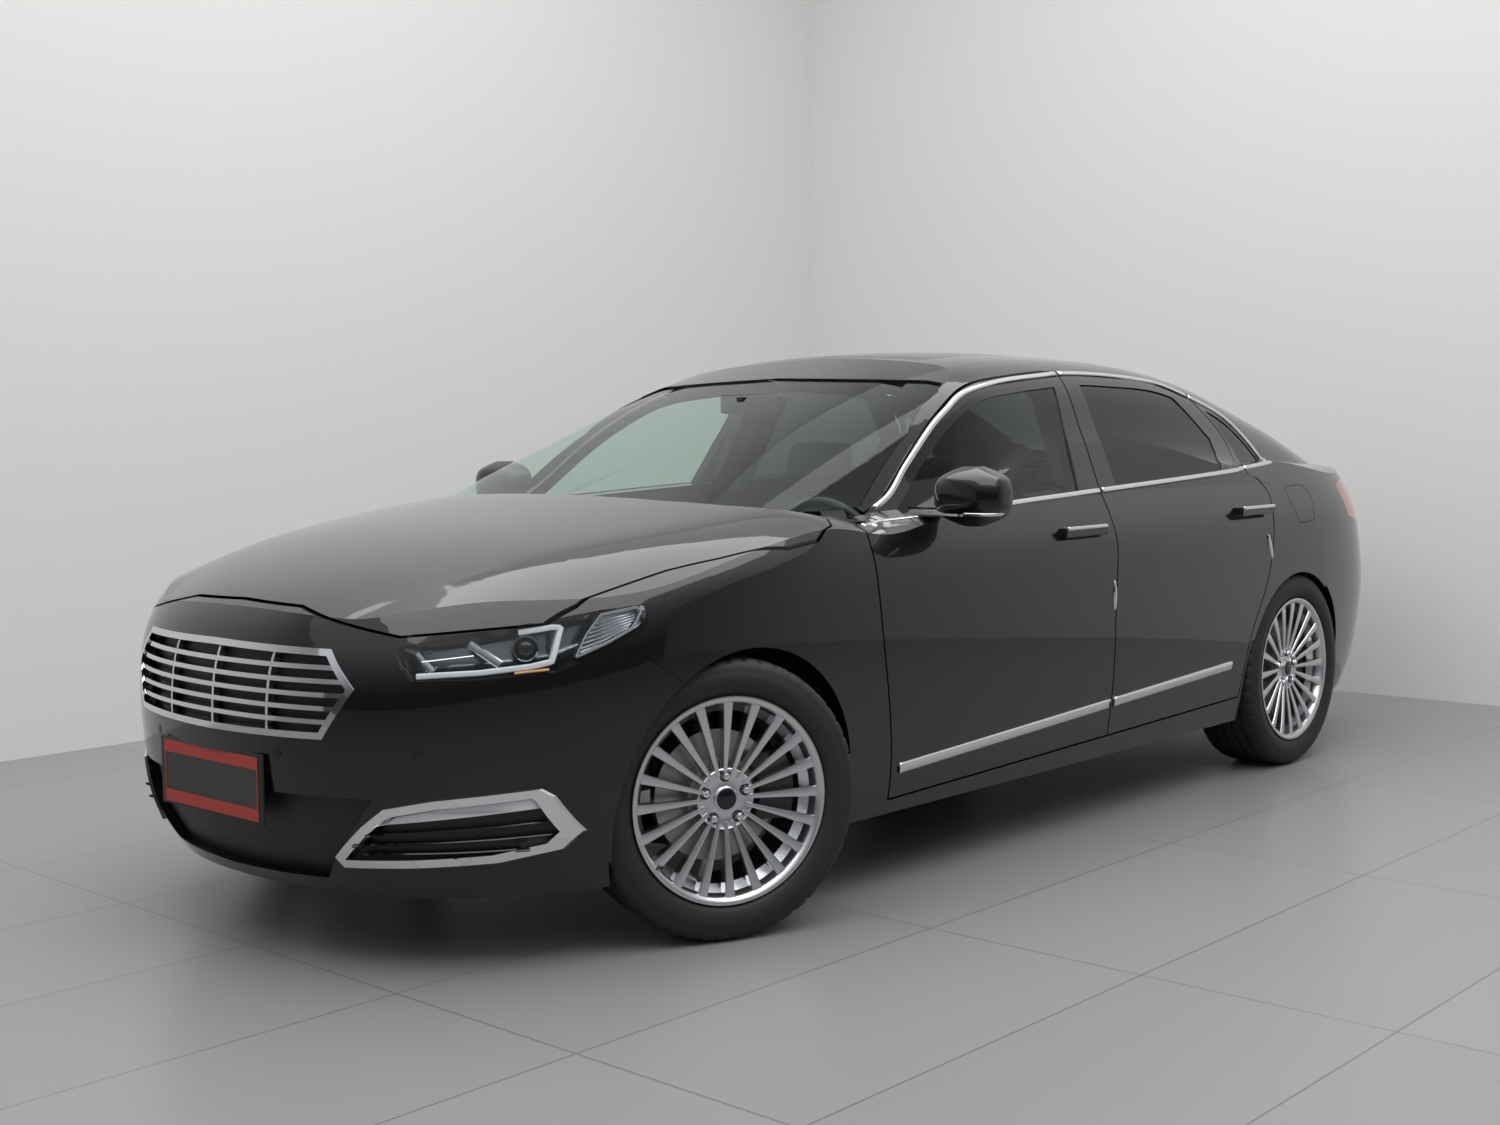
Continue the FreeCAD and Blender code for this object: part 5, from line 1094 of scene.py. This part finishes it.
def add_cabin_trim(finishes):
    """Headliner, pillar trim and inside mirror."""
    tree = skin_tree(["roof_panel"])

    def under_roof(u, v):
        x = HEADLINER_START - HEADLINER_LENGTH * u
        y = -HEADLINER_HALF + 2 * HEADLINER_HALF * v
        place, normal, index, distance = tree.ray_cast(Vector((x, y, 1.2)), Vector((0, 0, 1)))
        return x, y, (place.z if place else 1.40) - 0.003

    bm = bmesh.new()
    sheet_grid(bm, under_roof, 30, 24)
    new_piece("Headliner", bm, finishes["pale_trim"])
    for side in (1, -1):
        bm = bmesh.new()
        sheet_grid(bm, lambda u, v: Vector((-0.14 - 0.12 * v - 0.10 * (1 - u),
                                            side * (0.735 - 0.115 * v - 0.012 * math.sin(math.pi * u)),
                                            1.0 + 0.36 * v)), 8, 12)
        new_piece("Pillar Trim " + ("Left" if side > 0 else "Right"), bm, finishes["pale_trim"])
    for name, low, high, bevel in INSIDE_MIRROR:
        block(name, low, high, finishes["gloss_plastic"], bevel=bevel)


# Camera, room and light

CAMERA_PLACE = (4.82758, 3.90338, 1.27987)
CAMERA_YAW = -2.40273590
CAMERA_PITCH = -0.0779847143
CAMERA_ROLL = -0.0104532457
CAMERA_LENS = 43.755


def add_camera():
    """The camera that took the photograph."""
    camera = bpy.data.objects.new("Front Corner Camera", bpy.data.cameras.new("Front Corner Camera"))
    bpy.context.scene.collection.objects.link(camera)
    camera.data.lens = CAMERA_LENS
    camera.data.sensor_width = 36.0
    camera.data.clip_end = 60.0
    ahead = Vector((math.cos(CAMERA_PITCH) * math.cos(CAMERA_YAW),
                    math.cos(CAMERA_PITCH) * math.sin(CAMERA_YAW), math.sin(CAMERA_PITCH)))
    level = ahead.cross(Vector((0, 0, 1))).normalized()
    upward = level.cross(ahead)
    right = level * math.cos(CAMERA_ROLL) + upward * math.sin(CAMERA_ROLL)
    up = upward * math.cos(CAMERA_ROLL) - level * math.sin(CAMERA_ROLL)
    turn = Matrix((right, up, -ahead)).transposed().to_4x4()
    camera.matrix_world = Matrix.Translation(CAMERA_PLACE) @ turn
    bpy.context.scene.camera = camera
    return camera


WALL_RIGHT = -2.90
WALL_REAR = -3.20
ROOM_REACH = 14.0
ROOM_HEIGHT = 4.6
TILE_LENGTH = 1.2
TILE_WIDTH = 0.6
TILE_JOINT = 0.0022
CEILING_PLACE = (1.0, 1.0, 4.4)
CEILING_SIZE = (7.0, 7.0)
CEILING_AIM = (0.5, 0.5, 0.0)
SKY_STEPS = [(0.04, (0.050, 0.052, 0.055, 1)), (0.55, (0.75, 0.77, 0.80, 1))]


def floor_material():
    """Pale grey floor tiles with thin joints."""
    material, nodes, links, shader, place = new_material("Floor Tiles")
    set_values(shader, {"Roughness": 0.32, "Specular IOR Level": 0.4})
    bricks = nodes.new("ShaderNodeTexBrick")
    bricks.offset = 0.0
    bricks.inputs["Scale"].default_value = 1.0
    bricks.inputs["Brick Width"].default_value = TILE_LENGTH
    bricks.inputs["Row Height"].default_value = TILE_WIDTH
    bricks.inputs["Mortar Size"].default_value = TILE_JOINT
    bricks.inputs["Color1"].default_value = (0.25, 0.25, 0.247, 1)
    bricks.inputs["Color2"].default_value = (0.26, 0.26, 0.257, 1)
    bricks.inputs["Mortar"].default_value = (0.13, 0.13, 0.13, 1)
    links.new(place.outputs["Object"], bricks.inputs["Vector"])
    links.new(bricks.outputs["Color"], shader.inputs["Base Color"])
    return material


def wall_material(colour):
    """Pale wall paint that the camera sees through from behind, so that a wall never hides the car."""
    material, nodes, links, shader, place = new_material("Pale Wall")
    set_values(shader, {"Base Color": (*colour, 1.0), "Metallic": 0.0, "Roughness": 0.9})
    ray = nodes.new("ShaderNodeLightPath")
    side = nodes.new("ShaderNodeNewGeometry")
    hidden = nodes.new("ShaderNodeMath")
    hidden.operation = "MULTIPLY"
    links.new(ray.outputs["Is Camera Ray"], hidden.inputs[0])
    links.new(side.outputs["Backfacing"], hidden.inputs[1])
    mix = nodes.new("ShaderNodeMixShader")
    links.new(hidden.outputs["Value"], mix.inputs["Fac"])
    links.new(shader.outputs["BSDF"], mix.inputs[1])
    links.new(nodes.new("ShaderNodeBsdfTransparent").outputs["BSDF"], mix.inputs[2])
    links.new(mix.outputs["Shader"], nodes["Material Output"].inputs["Surface"])
    return material


def plane_piece(name, corners, material):
    """One flat sheet of the room."""
    mesh = bpy.data.meshes.new(name.replace(" ", "_"))
    mesh.from_pydata(corners, [], [list(range(len(corners)))])
    piece = bpy.data.objects.new(name, mesh)
    bpy.context.scene.collection.objects.link(piece)
    piece.data.materials.append(material)
    return piece


def add_room(settings):
    """Floor and the two walls behind the car, open on the camera's side."""
    far = ROOM_REACH
    wall = wall_material(settings.wall_colour)
    plane_piece("Floor", [(-far, -far, 0), (far, -far, 0), (far, far, 0), (-far, far, 0)], floor_material())
    plane_piece("Right Wall", [(WALL_REAR, WALL_RIGHT, 0), (WALL_REAR, WALL_RIGHT, ROOM_HEIGHT),
                               (far, WALL_RIGHT, ROOM_HEIGHT), (far, WALL_RIGHT, 0)], wall)
    plane_piece("Rear Wall", [(WALL_REAR, WALL_RIGHT, 0), (WALL_REAR, far, 0), (WALL_REAR, far, ROOM_HEIGHT),
                              (WALL_REAR, WALL_RIGHT, ROOM_HEIGHT)], wall)


def add_light(settings):
    """Even light from the ceiling and a pale surround."""
    scene = bpy.context.scene
    world = bpy.data.worlds.new("Pale Surround")
    scene.world = world
    world.use_nodes = True
    nodes = world.node_tree.nodes
    links = world.node_tree.links
    place = nodes.new("ShaderNodeTexCoord")
    parts = nodes.new("ShaderNodeSeparateXYZ")
    ramp = nodes.new("ShaderNodeValToRGB")
    links.new(place.outputs["Generated"], parts.inputs["Vector"])
    links.new(parts.outputs["Z"], ramp.inputs["Fac"])
    links.new(ramp.outputs["Color"], nodes["Background"].inputs["Color"])
    for step, (position, colour) in zip(ramp.color_ramp.elements, SKY_STEPS):
        step.position = position
        step.color = colour
    nodes["Background"].inputs["Strength"].default_value = settings.surround_strength
    light = bpy.data.lights.new("Ceiling Light", "AREA")
    light.shape = "RECTANGLE"
    light.size, light.size_y = CEILING_SIZE
    light.energy = settings.ceiling_power
    lamp = bpy.data.objects.new("Ceiling Light", light)
    scene.collection.objects.link(lamp)
    lamp.location = CEILING_PLACE
    lamp.rotation_euler = (Vector(CEILING_AIM) - Vector(CEILING_PLACE)).to_track_quat("-Z", "Y").to_euler()
    scene.view_settings.view_transform = "Standard"


# Settings, operators and the sidebar

def colour_setting(name, default, description):
    """A colour that the sidebar shows."""
    return bpy.props.FloatVectorProperty(name=name, description=description, subtype="COLOR", size=3, min=0.0,
                                         max=1.0, default=default)


class SedanSettings(bpy.types.PropertyGroup):
    """Colours and strengths of the car and of its room"""
    paint_colour: colour_setting("Body Paint", (0.003, 0.003, 0.0035), "Colour of the painted panels")
    paint_gloss: bpy.props.FloatProperty(name="Clear Coat", description="Share of clear coat over the paint",
                                         default=1.0, min=0.0, max=1.0, subtype="FACTOR")
    chrome_colour: colour_setting("Chrome", (0.78, 0.79, 0.81), "Colour of grille, window lines and handles")
    alloy_colour: colour_setting("Wheels", (0.62, 0.63, 0.65), "Colour of the spoked wheels")
    leather_colour: colour_setting("Seats", (0.02, 0.018, 0.017), "Colour of the seats' leather")
    plate_colour: colour_setting("Plate Bands", (0.42, 0.035, 0.022), "Colour of the blank plate's bands")
    wall_colour: colour_setting("Walls", (0.72, 0.72, 0.70), "Colour of the room's walls")
    surround_strength: bpy.props.FloatProperty(name="Surround", description="Strength of the pale surround",
                                               default=0.9, min=0.0, max=3.0)
    ceiling_power: bpy.props.FloatProperty(name="Ceiling Light", description="Power of the light in the ceiling",
                                           default=330.0, min=0.0, max=2000.0, subtype="POWER", unit="POWER")


class SEDAN_OT_paint_panels(bpy.types.Operator):
    """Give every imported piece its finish"""
    bl_idname = "sedan.paint_panels"
    bl_label = "Paint Panels"

    def execute(self, context):
        finishes = shared_finishes(context.scene.sedan_settings)
        finish_nodes(finishes)
        finish_faces(finishes)
        return {"FINISHED"}


class SEDAN_OT_trim_sides(bpy.types.Operator):
    """Lay the bright lines round the side glass and along the doors' feet"""
    bl_idname = "sedan.trim_sides"
    bl_label = "Trim Sides"

    def execute(self, context):
        add_side_trim(shared_finishes(context.scene.sedan_settings))
        return {"FINISHED"}


class SEDAN_OT_fit_wheels(bpy.types.Operator):
    """Fit tyres, spoked wheels, nuts, caps and brake discs"""
    bl_idname = "sedan.fit_wheels"
    bl_label = "Fit Wheels"

    def execute(self, context):
        add_wheels(shared_finishes(context.scene.sedan_settings))
        return {"FINISHED"}


class SEDAN_OT_fit_lamps(bpy.types.Operator):
    """Fit the headlamps, parking sensors, fog lamps and the blank plate"""
    bl_idname = "sedan.fit_lamps"
    bl_label = "Fit Lamps and Plate"

    def execute(self, context):
        finishes = shared_finishes(context.scene.sedan_settings)
        add_headlamps(finishes)
        add_sensors(finishes)
        add_fog_lamps(finishes)
        add_plate(finishes)
        return {"FINISHED"}


class SEDAN_OT_fit_details(bpy.types.Operator):
    """Fit the filler flap's line, edge guards, roof glass, mirror parts and handle blades"""
    bl_idname = "sedan.fit_details"
    bl_label = "Fit Body Details"

    def execute(self, context):
        finishes = shared_finishes(context.scene.sedan_settings)
        add_side_details(finishes)
        add_sunroof(finishes)
        add_mirror_parts(finishes)
        add_handle_blades(finishes)
        return {"FINISHED"}


class SEDAN_OT_fit_cabin(bpy.types.Operator):
    """Fit the padded seats, headliner, pillar trim and inside mirror"""
    bl_idname = "sedan.fit_cabin"
    bl_label = "Fit Cabin"

    def execute(self, context):
        finishes = shared_finishes(context.scene.sedan_settings)
        add_seats(finishes)
        add_cabin_trim(finishes)
        return {"FINISHED"}


class SEDAN_OT_light_room(bpy.types.Operator):
    """Set up the room, the light and the camera"""
    bl_idname = "sedan.light_room"
    bl_label = "Light Room"

    def execute(self, context):
        settings = context.scene.sedan_settings
        add_room(settings)
        add_light(settings)
        add_camera()
        return {"FINISHED"}


OPERATORS = (SEDAN_OT_paint_panels, SEDAN_OT_trim_sides, SEDAN_OT_fit_wheels, SEDAN_OT_fit_lamps,
             SEDAN_OT_fit_details, SEDAN_OT_fit_cabin, SEDAN_OT_light_room)


class SEDAN_PT_sidebar(bpy.types.Panel):
    """The car's settings and operators in the sidebar"""
    bl_label = "Sedan Car"
    bl_idname = "SEDAN_PT_sidebar"
    bl_space_type = "VIEW_3D"
    bl_region_type = "UI"
    bl_category = "Sedan"

    def draw(self, context):
        settings = context.scene.sedan_settings
        for name in SedanSettings.__annotations__:
            self.layout.prop(settings, name)
        for operator in OPERATORS:
            self.layout.operator(operator.bl_idname)


CLASSES = (SedanSettings, *OPERATORS, SEDAN_PT_sidebar)


def register():
    for kind in CLASSES:
        bpy.utils.register_class(kind)
    bpy.types.Scene.sedan_settings = bpy.props.PointerProperty(type=SedanSettings)


def unregister():
    del bpy.types.Scene.sedan_settings
    for kind in reversed(CLASSES):
        bpy.utils.unregister_class(kind)


def main():
    register()
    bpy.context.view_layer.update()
    bpy.ops.sedan.paint_panels()
    bpy.ops.sedan.trim_sides()
    bpy.ops.sedan.fit_wheels()
    bpy.ops.sedan.fit_lamps()
    bpy.ops.sedan.fit_details()
    bpy.ops.sedan.fit_cabin()
    bpy.ops.sedan.light_room()


if __name__ == "__main__":
    main()
